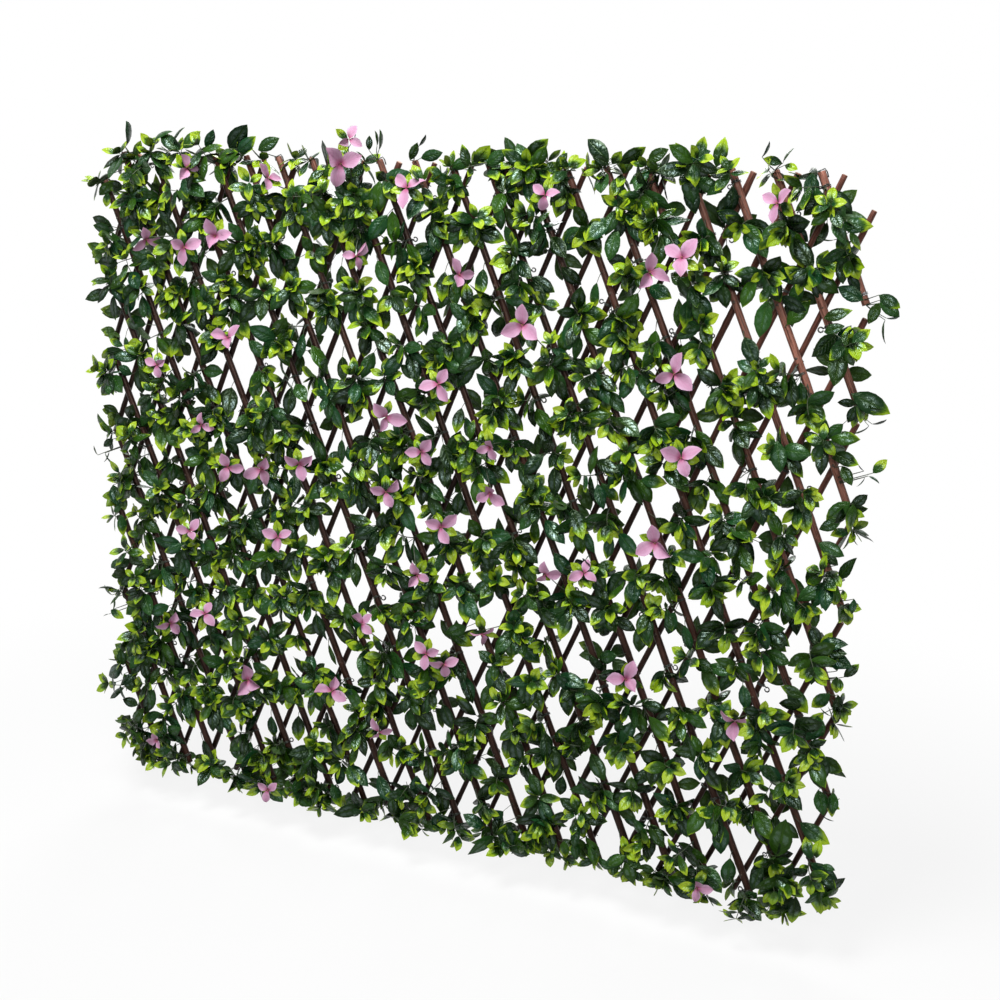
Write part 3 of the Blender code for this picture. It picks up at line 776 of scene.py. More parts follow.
def store(mesh, label, kind, values):
    field = mesh.attributes.new(label, kind, "POINT")
    flat = np.array(values, np.int32 if kind == "INT" else float).ravel()
    field.data.foreach_set("vector" if kind == "FLOAT_VECTOR" else "value", flat)


def placesOf(mesh):
    places = np.zeros(len(mesh.vertices) * 3)
    mesh.vertices.foreach_get("co", places)
    return places.reshape(-1, 3)


noTurn = (1.0, 0.0, 0.0, 0.0)




# willow rods

willow = {
    "front": {"lean": -1, "width": 0.0102, "taper": 0.06, "bark": frontBark, "slot": "front_wood",
              "seed": 21000},
    "rear": {"lean": 1, "width": 0.0084, "taper": 0.08, "bark": rearBark, "slot": "rear_wood",
             "seed": 21500},
    "ringStep": 0.0075, "wobble": 0.0011, "squeeze": 0.93, "bevel": 0.0007, "bevelled": 0.90,
    "knotEvery": 0.085, "knotHeight": 0.00042, "knotLength": 0.0042,
    "openRight": -0.10, "openSpan": 0.70,    # painted light: bark is painted paler to the right, where it is lit
    "openLow": 0.45, "openFrom": -0.25,      # and less so below, as painted shade
    "openTop": 0.44, "openRise": 0.06,       # and at the top ends, where it is lit
    "pinned": ("front_stick_14", 0),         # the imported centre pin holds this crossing
}
packedRod = {"halfWidth": 0.0056, "halfDepth": 0.0093, "tip": 0.0004}    # tells a body's rod from its leaves


class Stick:
    # one rod as it is packed: its line, its ends and its crossings
    def __init__(self, layer, number):
        self.layer, self.number = layer, number
        self.count = (number + stickTotal - 1) // 2 + 1
        self.body = f"{layer}_stick_{self.count:02d}"
        self.lean = willow[layer]["lean"]
        self.up = Vector((self.lean * stepAcross, 0, stepUp)).normalized()
        self.side = Vector((self.up.z, 0, -self.up.x))
        self.foot = Vector((number * stepAcross, 0, 0))
        self.outward = Vector((0, self.lean, 0))
        self.rows = [r for r in range(-lattice["rows"], lattice["rows"] + 1)
                     if abs(self.column(r)) <= lattice["columns"]]
        places = np.array([v.co for v in frame["nodes"][self.body].data.vertices])
        along, across, _ = self.split(places)
        rod = (np.abs(across) < packedRod["halfWidth"]) & (np.abs(places[:, 1]) < packedRod["halfDepth"])
        self.low, self.high = float(along[rod].min()), float(along[rod].max())
        tip = places[rod & (along > self.high - packedRod["tip"]), 1]
        self.depth = float((tip.min() + tip.max()) / 2)

    def split(self, places):
        # places along the rod, across it, and in depth
        away = places - np.array(self.foot)
        return away @ np.array(self.up), away @ np.array(self.side), away[:, 1]

    def column(self, row):
        return self.number + self.lean * row

    def at(self, along, outward=0.0):
        return self.foot + self.up * along + Vector((0, self.depth, 0)) + self.outward * outward

    def nearest(self, place):
        # how far along the rod it is nearest to a place
        return min(self.high, max(self.low, (place - self.foot).dot(self.up)))


def makeRod(stick):
    look = willow[stick.layer]
    chance = random.Random(look["seed"] + stick.number)
    waves = [(chance.uniform(0.4, 1.0), chance.uniform(0.25, 0.6), chance.uniform(0, math.tau))
             for _ in range(3)]
    knots, at = [], stick.low + chance.uniform(0.02, 0.07)
    while at < stick.high - 0.01:
        knots.append(at)
        at += willow["knotEvery"] * chance.uniform(0.6, 1.5)
    count = max(4, round((stick.high - stick.low) / willow["ringStep"]))
    steps = [stick.low, stick.low + willow["bevel"], *np.linspace(stick.low, stick.high, count + 1)[1:-1],
             stick.high - willow["bevel"], stick.high]
    points, thick = [], []
    thickEnd = chance.choice((-1, 1))
    for step in steps:
        sway = sum(size * math.sin(step * math.tau / span + start) for size, span, start in waves)
        points.append(stick.at(step) + stick.side * sway * willow["wobble"] * 0.6)
        radius = look["width"] / 2 * (1 + thickEnd * look["taper"] * (step / 0.5))
        bumps = sum(math.exp(-((step - knot) / willow["knotLength"]) ** 2) for knot in knots)
        radius += willow["knotHeight"] * bumps
        thick.append(radius * (willow["bevelled"] if step in (stick.low, stick.high) else 1))
    edges = [(i, i + 1) for i in range(len(points) - 1)]
    nail, turns = [0.0] * len(points), [noTurn] * len(points)
    for row in stick.rows if stick.layer == "front" else ():
        if (stick.body, row) != willow["pinned"]:
            points.append(Vector((stick.column(row) * stepAcross, 0, row * stepUp)))
            turns.append(tuple(Matrix.Rotation(chance.uniform(0, math.tau), 3, "Y").to_quaternion()))
            thick.append(chance.uniform(0.94, 1.06))
            nail.append(1.0)
    mesh = startMesh(stick.body + "_path", points, edges, {
        "thick": ("FLOAT", thick), "nail": ("FLOAT", nail), "turn": ("QUATERNION", turns)})
    piece = grow(stick.body + "_willow", mesh, rodTree, {
        "Axis Depth": stick.depth, "Squeeze": willow["squeeze"], "Seed": float(stick.number),
        "Bark": look["bark"], "Sawn End": cutWood, "Nail": nailShape})
    mapRod(piece.data, stick)
    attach(piece, stick.body)
    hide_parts(stick.body)


def mapRod(mesh, stick):
    # the rod's own coordinates for its bark, and a map cut into strips side by side
    look = {"strips": 8, "high": 8.6, "edge": 0.04, "span": 0.92, "turn": 0.40}
    places = placesOf(mesh)
    along, across, deep = stick.split(places)
    deep = deep - stick.depth
    right, high = places[:, 0] + 0.25 * places[:, 2], places[:, 2]
    # painted light: paler bark where the rod is lit, to the right and at the top ends, with painted shade
    # below
    exposed = np.clip((right - willow["openRight"]) / willow["openSpan"], 0, 1) ** 5.0
    exposed *= np.clip(willow["openLow"] + high - willow["openFrom"], willow["openLow"], 1)
    exposed += np.clip((high - willow["openTop"]) / willow["openRise"], 0, 1) * 0.7
    store(mesh, "barkPlace", "FLOAT_VECTOR", np.stack([across + stick.number * 0.05, deep, along], 1))
    store(mesh, "weathered", "FLOAT", np.minimum(exposed, 1.0))
    store(mesh, "endPlace", "FLOAT_VECTOR", np.stack([across, deep, along * 0.2], 1))
    layer, spots = mesh.uv_layers.new(name=mapName), np.zeros((len(mesh.loops), 2))
    stripLength = (stick.high - stick.low + 0.002) / look["strips"]
    names = [m.name for m in mesh.materials]
    for face in mesh.polygons:
        finish, corners = names[face.material_index], list(face.vertices)
        if finish.startswith("nailSteel"):
            laid = [(0.5 + 40 * across[v] % 0.4, 0.96 + 1.2 * (deep[v] % 0.02)) for v in corners]
        elif finish.startswith("cutWood"):
            left = 0.1 if along[corners[0]] < 0 else 0.2
            laid = [(left + 4 * across[v], 0.97 + 4 * deep[v]) for v in corners]
        else:
            strip = min(look["strips"] - 1, int((float(np.mean(along[corners])) - stick.low) / stripLength))
            angles = np.arctan2(deep[corners], across[corners])
            centre = math.atan2(float(np.mean(deep[corners])), float(np.mean(across[corners])))
            angles = centre + (angles - centre + math.pi) % math.tau - math.pi
            laid = [(look["edge"] + look["span"] * (along[v] - stick.low - strip * stripLength) / stripLength,
                     (strip + 0.5 + look["turn"] * angle / math.pi) / look["high"])
                    for v, angle in zip(corners, angles)]
        spots[list(face.loop_indices)] = laid
    layer.data.foreach_set("uv", spots.ravel())


sticks = {(layer, number): Stick(layer, number)
          for layer in ("front", "rear") for number in range(1 - stickTotal, stickTotal, 2)}
frontSticks = [stick for stick in sticks.values() if stick.layer == "front"]
for stick in sticks.values():
    makeRod(stick)
print("willow rods and nails made:", len(sticks))


# the camera, where the picture was taken from

cameraSetup = {
    "place": (0.978, -1.845, 0.537),
    "yaw": math.radians(25.55), "pitch": math.radians(14.02), "roll": math.radians(1.05),
    "focus": 1.461,          # focal length over the picture's width
    "sensor": 36.0, "clips": (0.05, 60.0),
    "picture": 1000,         # places in the picture are counted on this many steps each way
}


def cameraAxes():
    # rows: to the right, downwards and into the picture
    level = Matrix(((1, 0, 0), (0, 0, -1), (0, 1, 0)))
    yaw, pitch, roll = ((math.cos(cameraSetup[turn]), math.sin(cameraSetup[turn]))
                        for turn in ("yaw", "pitch", "roll"))
    turnYaw = Matrix(((yaw[0], 0, yaw[1]), (0, 1, 0), (-yaw[1], 0, yaw[0])))
    turnPitch = Matrix(((1, 0, 0), (0, pitch[0], -pitch[1]), (0, pitch[1], pitch[0])))
    turnRoll = Matrix(((roll[0], -roll[1], 0), (roll[1], roll[0], 0), (0, 0, 1)))
    return turnRoll @ turnPitch @ turnYaw @ level


def throughPicture(across, down, depth):
    # the point of the plane y = depth that shows at this place of the picture
    full, start = cameraSetup["picture"], Vector(cameraSetup["place"])
    right, low = (across - full / 2) / full, (down - full / 2) / full
    ray = cameraAxes().transposed() @ Vector((right, low, cameraSetup["focus"]))
    return start + ray * ((depth - start.y) / ray.y)


def addCamera():
    data = bpy.data.cameras.new("camera")
    data.lens, data.sensor_width = cameraSetup["focus"] * cameraSetup["sensor"], cameraSetup["sensor"]
    data.clip_start, data.clip_end = cameraSetup["clips"]
    camera = show("camera", data)
    right, down, ahead = cameraAxes()
    turn = Matrix((right, -down, -ahead)).transposed().to_4x4()
    camera.matrix_world = Matrix.Translation(cameraSetup["place"]) @ turn
    scene.camera = camera


addCamera()

# flowers: where each shows in the picture, how far round its first petal stands, its size,
# and for some how far they look aside and up
blooms = {
    "bloom01": (341, 164, 18, 1.15, 0.5, 0.15), "bloom02": (215, 236, 128, 1.05, 0.6, 0.1),
    "bloom03": (184, 247, 5, 0.95, 0.6, -0.4), "bloom04": (146, 239, 70, 0.80, 1.9, -0.8),
    "bloom05": (268, 178, 35, 0.80, 1.6, 0.7), "bloom06": (349, 139, 75, 0.70, 1.3, 0.1),
    "bloom07": (187, 168, 130, 0.75, 2.2, 0.2), "bloom08": (407, 188, 150, 0.95),
    "bloom09": (545, 195, 20, 0.75), "bloom10": (356, 256, 65, 0.80, 1.4, 0.2),
    "bloom11": (228, 338, 60, 0.95), "bloom12": (157, 365, 40, 0.70),
    "bloom13": (438, 384, 65, 1.00, 0.6, 0.1), "bloom14": (459, 275, 20, 0.85, 1.3, 0.5),
    "bloom15": (523, 325, 90, 1.05), "bloom16": (649, 272, 112, 1.05, 0.9, 0.2),
    "bloom17": (682, 258, 160, 0.95), "bloom18": (778, 203, 30, 0.95),
    "bloom19": (674, 374, 85, 1.10, 0.35, 0.2), "bloom20": (201, 425, 100, 0.75),
    "bloom21": (386, 417, 110, 0.95, 0.9, -0.3), "bloom22": (421, 452, 62, 0.85, 0.6, 0.2),
    "bloom23": (490, 447, 60, 0.80), "bloom24": (228, 467, 105, 0.90, 0.75, -0.1),
    "bloom25": (261, 469, 60, 0.95, 0.6, -0.3), "bloom26": (299, 464, 47, 0.90, 0.7, 0.1),
    "bloom27": (386, 492, 50, 0.85, 0.6, 0.2), "bloom28": (490, 493, 90, 0.90),
    "bloom29": (441, 527, 35, 0.95, 0.6, 0.2), "bloom30": (681, 458, 40, 1.05, 0.35, 0.2),
    "bloom31": (655, 543, 90, 1.00), "bloom32": (190, 531, 62, 0.80, 0.6, 0.8),
    "bloom33": (278, 537, 38, 0.80, 0.5, 0.2), "bloom34": (417, 575, 100, 0.75, 0.6, -0.2),
    "bloom35": (545, 574, 95, 0.75, 0.9, -0.5), "bloom36": (584, 573, 95, 0.75, 0.5, 0.7),
    "bloom37": (205, 614, 75, 0.85, 0.6, 0.8), "bloom38": (170, 623, 70, 0.80, 1.5, 0.1),
    "bloom39": (362, 624, 62, 0.85, 0.8, 0.7), "bloom40": (482, 634, 30, 0.75, 0.5, -1.0),
    "bloom41": (426, 654, 20, 0.85, 0.6, 0.2), "bloom42": (444, 664, 20, 0.90, 0.5, -0.5),
    "bloom43": (248, 680, 98, 1.00, 0.5, -0.1), "bloom44": (332, 691, 90, 0.90, 0.6, 0.7),
    "bloom45": (379, 732, 112, 0.80, 0.7, -0.2), "bloom46": (625, 679, 60, 1.00, 0.8, 0.1),
    "bloom47": (735, 721, 35, 0.90, 0.2, -0.4), "bloom48": (157, 740, 90, 0.70),
    "bloom49": (268, 790, 20, 0.75), "bloom50": (697, 888, 10, 0.80),
}

# leaves that stand out on the border: kind, and foot and tip in the picture
borderLeaves = {
    "top": {
        "thin01": (127, 145, 141, 126), "thin02": (154, 140, 163, 116), "thin03": (173, 143, 174, 122),
        "tipped04": (178, 152, 161, 129), "tipped05": (183, 148, 197, 131), "dark06": (206, 148, 214, 133),
        "dark07": (229, 148, 247, 125), "tipped08": (238, 152, 256, 138), "dark09": (258, 150, 277, 137),
        "thin10": (355, 138, 359, 123), "dark11": (369, 150, 370, 136), "thin12": (377, 146, 384, 132),
        "thin13": (379, 150, 392, 133), "dark14": (410, 160, 419, 144), "thin15": (419, 146, 430, 142),
        "dark16": (421, 158, 441, 154), "tipped17": (468, 167, 462, 145), "dark18": (470, 160, 449, 168),
        "lime19": (474, 163, 490, 146), "dark20": (517, 160, 500, 138), "dark21": (487, 165, 506, 150),
        "tipped22": (524, 160, 547, 143), "dark23": (556, 168, 566, 153), "dark24": (609, 161, 585, 138),
        "dark25": (609, 164, 590, 155), "lime26": (612, 164, 622, 150), "tipped27": (620, 163, 645, 152),
        "dark28": (648, 160, 668, 149), "dark29": (686, 160, 709, 149), "tipped30": (716, 167, 727, 135),
        "dark31": (720, 170, 737, 161), "thin32": (783, 163, 785, 144), "lime33": (782, 163, 763, 157),
        "lime34": (785, 165, 799, 171), "thin35": (762, 157, 777, 148), "dark36": (812, 173, 811, 202),
    },
    "left": {
        "thin01": (114, 173, 91, 172), "dark02": (112, 182, 99, 196), "lime03": (108, 193, 105, 207),
        "dark04": (139, 206, 115, 197), "dark05": (142, 216, 117, 228), "dark06": (118, 263, 95, 262),
        "dark07": (112, 264, 109, 287), "lime08": (101, 280, 87, 283), "thin09": (128, 304, 124, 327),
        "tipped10": (123, 350, 99, 359), "lime11": (123, 346, 110, 339), "dark12": (132, 374, 113, 366),
        "lime13": (122, 377, 111, 381), "thin14": (112, 434, 89, 426), "dark15": (113, 439, 103, 447),
        "thin16": (98, 455, 89, 449), "thin17": (105, 453, 108, 471), "thin18": (109, 451, 111, 464),
        "tipped19": (133, 467, 116, 487), "dark20": (113, 485, 118, 505), "dark21": (121, 505, 113, 513),
        "tipped22": (121, 515, 124, 538), "thin23": (135, 554, 122, 549), "thin24": (117, 590, 102, 578),
        "thin25": (112, 595, 100, 591), "thin26": (114, 598, 120, 608), "lime27": (111, 610, 121, 617),
        "thin28": (109, 614, 103, 613), "dark29": (123, 667, 101, 677), "dark30": (123, 665, 120, 648),
        "lime31": (116, 682, 105, 689), "dark32": (124, 674, 134, 694), "lime33": (138, 622, 128, 626),
        "dark34": (138, 705, 123, 699), "thin35": (133, 720, 120, 730), "thin36": (150, 739, 130, 756),
        "thin37": (140, 744, 127, 750), "lime38": (172, 747, 156, 754),
    },
    "right": {
        "lime01": (840, 234, 846, 260), "tipped02": (850, 232, 862, 250), "dark03": (844, 228, 864, 229),
        "thin04": (834, 240, 815, 247), "thin05": (845, 219, 858, 220), "tipped06": (879, 295, 915, 307),
        "dark07": (880, 303, 867, 325), "thin08": (886, 318, 909, 325), "thin09": (885, 320, 873, 340),
        "dark10": (880, 300, 899, 316), "dark11": (863, 300, 838, 287), "dark12": (860, 292, 844, 273),
        "tipped13": (824, 318, 851, 310), "dark14": (824, 332, 843, 326), "dark15": (825, 347, 848, 366),
        "tipped16": (852, 394, 889, 411), "dark17": (857, 403, 837, 405), "thin18": (868, 406, 878, 416),
        "thin19": (872, 424, 886, 428), "thin20": (869, 426, 859, 441), "dark21": (856, 406, 845, 425),
        "dark22": (843, 424, 824, 440), "lime23": (873, 473, 890, 459), "thin24": (868, 476, 882, 476),
        "thin25": (864, 471, 855, 468), "thin26": (865, 477, 863, 490), "lime27": (832, 458, 849, 456),
        "dark28": (842, 466, 852, 485), "tipped29": (850, 502, 823, 521), "tipped30": (853, 504, 851, 536),
        "dark31": (841, 521, 819, 529), "thin32": (853, 536, 852, 547), "tipped33": (838, 565, 821, 552),
        "lime34": (834, 574, 841, 587), "lime35": (837, 588, 833, 607), "lime36": (843, 590, 845, 601),
        "tipped37": (834, 586, 822, 615), "dark38": (854, 599, 854, 615), "tipped39": (837, 671, 832, 652),
        "tipped40": (844, 677, 860, 666), "dark41": (826, 686, 811, 666), "lime42": (837, 677, 834, 695),
        "lime43": (840, 679, 841, 692), "tipped44": (830, 694, 809, 710), "tipped45": (838, 695, 839, 723),
        "thin46": (831, 716, 817, 714), "dark47": (817, 716, 822, 736), "tipped48": (803, 697, 781, 686),
        "dark49": (802, 705, 775, 706), "dark50": (821, 755, 826, 779), "dark51": (818, 790, 824, 815),
        "dark52": (834, 793, 832, 814), "thin53": (822, 815, 829, 826), "lime54": (811, 859, 805, 840),
        "lime55": (816, 858, 817, 840), "lime56": (809, 866, 796, 871), "lime57": (813, 870, 817, 879),
        "dark58": (822, 865, 834, 870), "tipped59": (813, 879, 797, 886), "tipped60": (819, 880, 818, 915),
        "tipped61": (793, 898, 764, 914), "tipped62": (796, 897, 790, 926), "dark63": (776, 856, 771, 819),
        "dark64": (777, 856, 785, 823), "tipped65": (774, 856, 769, 892), "tipped66": (763, 855, 752, 874),
    },
    "low": {
        "lime01": (227, 770, 226, 784), "lime02": (288, 780, 290, 796), "dark03": (297, 778, 297, 797),
        "lime04": (309, 788, 309, 803), "tipped05": (332, 784, 342, 808), "tipped06": (358, 794, 347, 814),
        "tipped07": (385, 795, 362, 818), "tipped08": (396, 801, 396, 822),
        "tipped09": (421, 803, 417, 830), "dark10": (440, 812, 434, 833), "dark11": (484, 828, 464, 814),
        "tipped12": (488, 826, 484, 845), "dark13": (501, 823, 515, 851), "tipped14": (529, 823, 542, 853),
        "tipped15": (564, 841, 564, 862), "dark16": (574, 841, 579, 861), "tipped17": (592, 841, 597, 870),
        "tipped18": (615, 862, 615, 878), "thin19": (527, 816, 547, 813),
    },
}

# leaf sprays

sprayLook = {
    "seed": {"front": 7000, "rear": 7003},
    "tieGap": (0.012, 0.030),        # from a crossing to the tie that holds its spray
    "tieScale": {"front": 1.0, "rear": 0.9}, "eyes": 0.8,
    "sprigs": 1.05, "sprigLength": (0.012, 0.032), "sprigScale": (0.88, 1.06),
    "between": 0.55,                 # sprigs between two crossings
    "hanging": 1.7, "hangingBetween": 0.95, "hangingSizes": (0.86, 1.12), "hangingDark": 0.45,
    "alongRod": 14, "alongEdge": 35,         # degrees by which hanging leaves follow rod and border
    "fuller": 0.10, "highest": 1.3,  # more leaves to the left, and on the highest crossings
    "lowest": 0.4,                   # share of the hanging leaves on the lowest crossings
    "forks": 0.5,
    "edgeReach": 0.020,              # sprays on the border stand out this much further
    "borderDepth": -0.022, "borderTip": -0.004,
    "clipped": (11, 13, 16, 27),     # front rods with a clip over the upper end
    "wired": 27,                     # front rod with a steel wire round its lower end
    "wireHeight": 0.012,
    # rows of the sheet, which is darker below and more lime above, and the cells of the other parts
    "rows": {"young": (4, 6), "mid": (2, 4), "tipped": (3, 4), "dark": (0, 1), "thin": (0, 2),
             "bract": (5, 6)},
    "loopCell": (6, 7), "heartCell": (7, 7), "petalCells": (5, 7),
}
# a sprig's leaves from its tip down: the point of its stem, how many, how far they open and hang
sprigTiers = (
    {"rows": "young", "at": 4, "counts": (3, 4, 4), "opening": (32, 58), "sizes": (0.80, 1.05),
     "hang": -0.16},
    {"rows": "mid", "at": 3, "counts": (2, 3, 3), "opening": (62, 84), "sizes": (0.68, 0.86),
     "hang": -0.42},
    {"rows": "dark", "at": 2, "counts": (1, 2, 3), "opening": (80, 104), "sizes": (0.88, 1.08),
     "hang": -0.42},
)
bloomLook = {
    "depth": -0.050, "aside": (0.20, 0.42), "neck": 0.006, "opening": (46, 92), "sizes": (0.86, 1.08),
    "heart": 0.6, "bracts": (2, 3, 3), "bractTurn": 60, "bractOpening": (78, 100), "bractSizes": (0.8, 1.0),
}
# leaves laid on the border: the blade they may take, and its length
placedKinds = {"thin": ((1,), 0.040), "dark": ((0, 3), broad["length"]), "tipped": ((0, 2), broad["length"]),
               "lime": (youngKinds, young["length"])}


def swing(first, second, angle):
    # a direction turned from the first towards the second
    return first * math.cos(angle) + second * math.sin(angle)


class Spray:
    # everything that one rod carries: points for blades and loops, and lines for stems
    def __init__(self, stick):
        self.stick, self.outward = stick, stick.outward
        self.chance = random.Random(sprayLook["seed"][stick.layer] + stick.number * 7)
        self.places, self.turns, self.sizes, self.kinds, self.cells, self.stems = [], [], [], [], [], []

    def shape(self, place, ahead, face, size, kind, cell):
        # lays a shape with its length along ahead and its upper face towards face
        ahead = ahead.normalized()
        face = face - ahead * face.dot(ahead)
        if face.length < 1e-3:
            face = Vector((0, -1, 0.3)) - ahead * ahead.dot(Vector((0, -1, 0.3)))
        face.normalize()
        turn = Matrix((ahead.cross(face), ahead, face)).transposed().to_quaternion()
        self.places.append(place)
        self.turns.append(tuple(turn))
        self.sizes.append(size)
        self.kinds.append(kind)
        self.cells.append((*cell, 0.0))

    def leaf(self, place, ahead, face, size, rows, large=True):
        chance = self.chance
        kind = chance.choice(largeKinds if large else youngKinds)
        length = size * (broad if large else young)["length"]
        ahead = ahead.normalized()
        for _ in range(6):               # a leaf that would reach too far turns back
            tip = place + ahead * length
            if tip.y < reach["front"] + reach["frontSpare"]:
                ahead.y += 0.35
            elif tip.y > reach["back"] - reach["backSpare"]:
                ahead.y -= 0.35
            elif abs(tip.x) > reach["side"]:
                ahead.x -= math.copysign(0.4, tip.x)
            elif tip.z > reach["top"] or tip.z < reach["bottom"]:
                ahead.z -= math.copysign(0.4, tip.z)
            else:
                break
            ahead.normalize()
        cell = (chance.randrange(sheetCells), chance.randint(*sprayLook["rows"][rows]))
        self.shape(place, ahead, face, size, kind, cell)

    def stem(self, start, knee, end, count=5, thick=1.0):
        # a bent stem; gives its points back
        shares = [k / (count - 1) for k in range(count)]
        line = [start * (1 - t) ** 2 + knee * 2 * t * (1 - t) + end * t * t for t in shares]
        self.stems.append((line, thick))
        return line

    def sprig(self, start, aim, length, scale=1.0, tiers=3):
        # a stem with tiers of leaves: dark and large below, lime and small at its tip
        chance, aim = self.chance, aim.normalized()
        end = start + aim * length
        line = self.stem(start, start + self.outward * length * 0.45 + aim * length * 0.25, end)
        axis = (end - line[2]).normalized()
        sideways = axis.orthogonal().normalized()
        other = axis.cross(sideways)
        face = axis * 0.7 + self.outward * 0.7 + Vector((0, 0, 0.2))
        counts = [chance.choice(tier["counts"]) for tier in sprigTiers]
        for tier, count in list(zip(sprigTiers, counts))[:tiers]:
            first = chance.uniform(0, math.tau)
            for k in range(count):
                out = swing(sideways, other, first + math.tau * k / count + chance.gauss(0, 0.28))
                ahead = swing(axis, out, math.radians(chance.uniform(*tier["opening"])))
                self.leaf(line[tier["at"]] + out * 0.0008, ahead + Vector((0, 0, tier["hang"])), face,
                          chance.uniform(*tier["sizes"]) * scale, tier["rows"], tier["rows"] != "young")

    def fork(self, start):
        # a bare twig with two or three short points
        chance = self.chance
        aim = Vector((chance.gauss(0, 1), self.outward.y * 0.5, chance.gauss(0, 1))).normalized()
        end = start + aim * chance.uniform(0.008, 0.014)
        self.stem(start, start + aim * 0.005, end, 3)
        for _ in range(chance.choice((2, 3))):
            turned = (aim + Vector((chance.gauss(0, 0.7), 0, chance.gauss(0, 0.7)))).normalized()
            self.stems.append(([end, end + turned * chance.uniform(0.004, 0.008)], 0.9))

    def hangingLeaf(self, start, tilt, rows):
        # one larger leaf on a short stalk, mostly pointing down, face to the front
        chance, outward = self.chance, self.outward
        fall = math.radians(chance.gauss(0, 40) + tilt)
        ahead = Vector((math.sin(fall), outward.y * chance.uniform(0.05, 0.55), -math.cos(fall)))
        stalk = chance.uniform(0.004, 0.016)
        foot = start + outward * chance.uniform(0.002, 0.010) + ahead * stalk
        self.stem(start, start + outward * 0.006, foot, 4, 0.8)
        face = outward + Vector((chance.gauss(0, 0.35), 0, chance.gauss(0.25, 0.3)))
        self.leaf(foot, ahead, face, chance.uniform(*sprayLook["hangingSizes"]), rows)

    def placedLeaf(self, foot, tip, kind):
        # a leaf laid between two places of the picture, on a stem from the rod
        chance, stick = self.chance, self.stick
        tip.x = min(max(tip.x, -reach["side"] - 0.003), reach["side"] + 0.003)
        tip.z = min(max(tip.z, reach["bottom"] - 0.003), reach["top"] + 0.004)
        root, ahead = stick.at(stick.nearest(foot), 0.004), tip - foot
        self.stem(root, (root + foot) / 2 + Vector((0, -0.006, 0)), foot, thick=0.9)
        sight = (foot - Vector(cameraSetup["place"])).normalized()
        tilt = Vector((chance.gauss(0, 0.25), 0, chance.gauss(0, 0.25)))
        face = ahead.cross(sight).normalized() * chance.choice((-1, 1)) if kind == "thin" else tilt - sight
        # each kind takes its turn in the draws, also where another one is laid
        picked = {name: chance.choice(placedKinds[name][0]) for name in ("dark", "tipped", "lime")}
        rows = sprayLook["rows"]["young" if kind == "lime" else kind]
        blade = picked[kind] if kind in picked else placedKinds[kind][0][0]
        self.shape(foot, ahead, face, ahead.length / placedKinds[kind][1], blade,
                   (chance.randrange(sheetCells), chance.randint(*rows)))

    def bloom(self, start, centre, facing, roll, size):
        # three petals round a small heart, on lime bracts
        chance, facing = self.chance, facing.normalized()
        back = centre - facing * bloomLook["neck"]
        self.stem(start, start + Vector((0, -0.012, 0)), back, 6, 1.1)
        right = (Vector((1, 0, 0)) - facing * facing.x).normalized()
        top = facing.cross(right)
        top = -top if top.z < 0 else top
        for k in range(3):
            out = swing(right, top, math.radians(roll) + math.tau * k / 3 + chance.gauss(0, 0.10))
            ahead = swing(facing, out, math.radians(chance.uniform(*bloomLook["opening"])))
            face = facing + right * chance.gauss(0, 0.3) + top * chance.gauss(0, 0.3)
            scale, kind = size * chance.uniform(*bloomLook["sizes"]), chance.choice(petalKinds)
            columns, row = sprayLook["petalCells"]
            self.shape(centre + out * 0.001, ahead, face, scale, kind, (chance.randrange(columns), row))
        self.shape(centre, facing.orthogonal(), facing, size * bloomLook["heart"], heartKind,
                   sprayLook["heartCell"])
        for k in range(chance.choice(bloomLook["bracts"])):
            around = math.radians(roll + bloomLook["bractTurn"]) + math.tau * k / 3 + chance.gauss(0, 0.3)
            out = swing(right, top, around)
            ahead = swing(facing, out, math.radians(chance.uniform(*bloomLook["bractOpening"])))
            self.leaf(back, ahead, facing, chance.uniform(*bloomLook["bractSizes"]), "bract", False)

    def tieOn(self, along):
        # a tie round the rod, and now and then the eye of a wire beside it
        chance, stick, cell = self.chance, self.stick, sprayLook["loopCell"]
        middle, scale = stick.at(along), sprayLook["tieScale"][stick.layer]
        self.shape(middle, Vector((0, 1, 0)), stick.up, scale, tieKind, cell)
        if chance.random() < sprayLook["eyes"]:
            side = stick.side * chance.choice((-1, 1))
            place = middle + side * 0.0050 + self.outward * 0.001
            ahead = side + Vector((0, chance.uniform(-0.3, 0.3), chance.uniform(-0.9, 0.5)))
            self.shape(place, ahead, self.outward, chance.uniform(0.85, 1.2), eyeKind, cell)

    def finish(self):
        if not self.places:
            return 0
        points, sizes, edges = list(self.places), list(self.sizes), []
        for line, thick in self.stems:
            edges += [(k, k + 1) for k in range(len(points), len(points) + len(line) - 1)]
            points += line
            sizes += [thick] * len(line)
        count, rest = len(self.places), len(points) - len(self.places)
        mesh = startMesh(self.stick.body + "_spray", points, edges, {
            "blade": ("FLOAT", [1.0] * count + [0.0] * rest),
            "turn": ("QUATERNION", self.turns + [noTurn] * rest),
            "size": ("FLOAT", sizes),
            "kind": ("INT", self.kinds + [0] * rest),
            "cell": ("FLOAT_VECTOR", self.cells + [(0.0, 0.0, 0.0)] * rest)})
        piece = grow(self.stick.body + "_sprays", mesh, sprayTree, {
            "Shapes": shapes, "Stem Finish": stemPlastic, "Seed": self.stick.number + 40})
        keepInside(piece.data)
        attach(piece, self.stick.body)
        return len(piece.data.polygons)


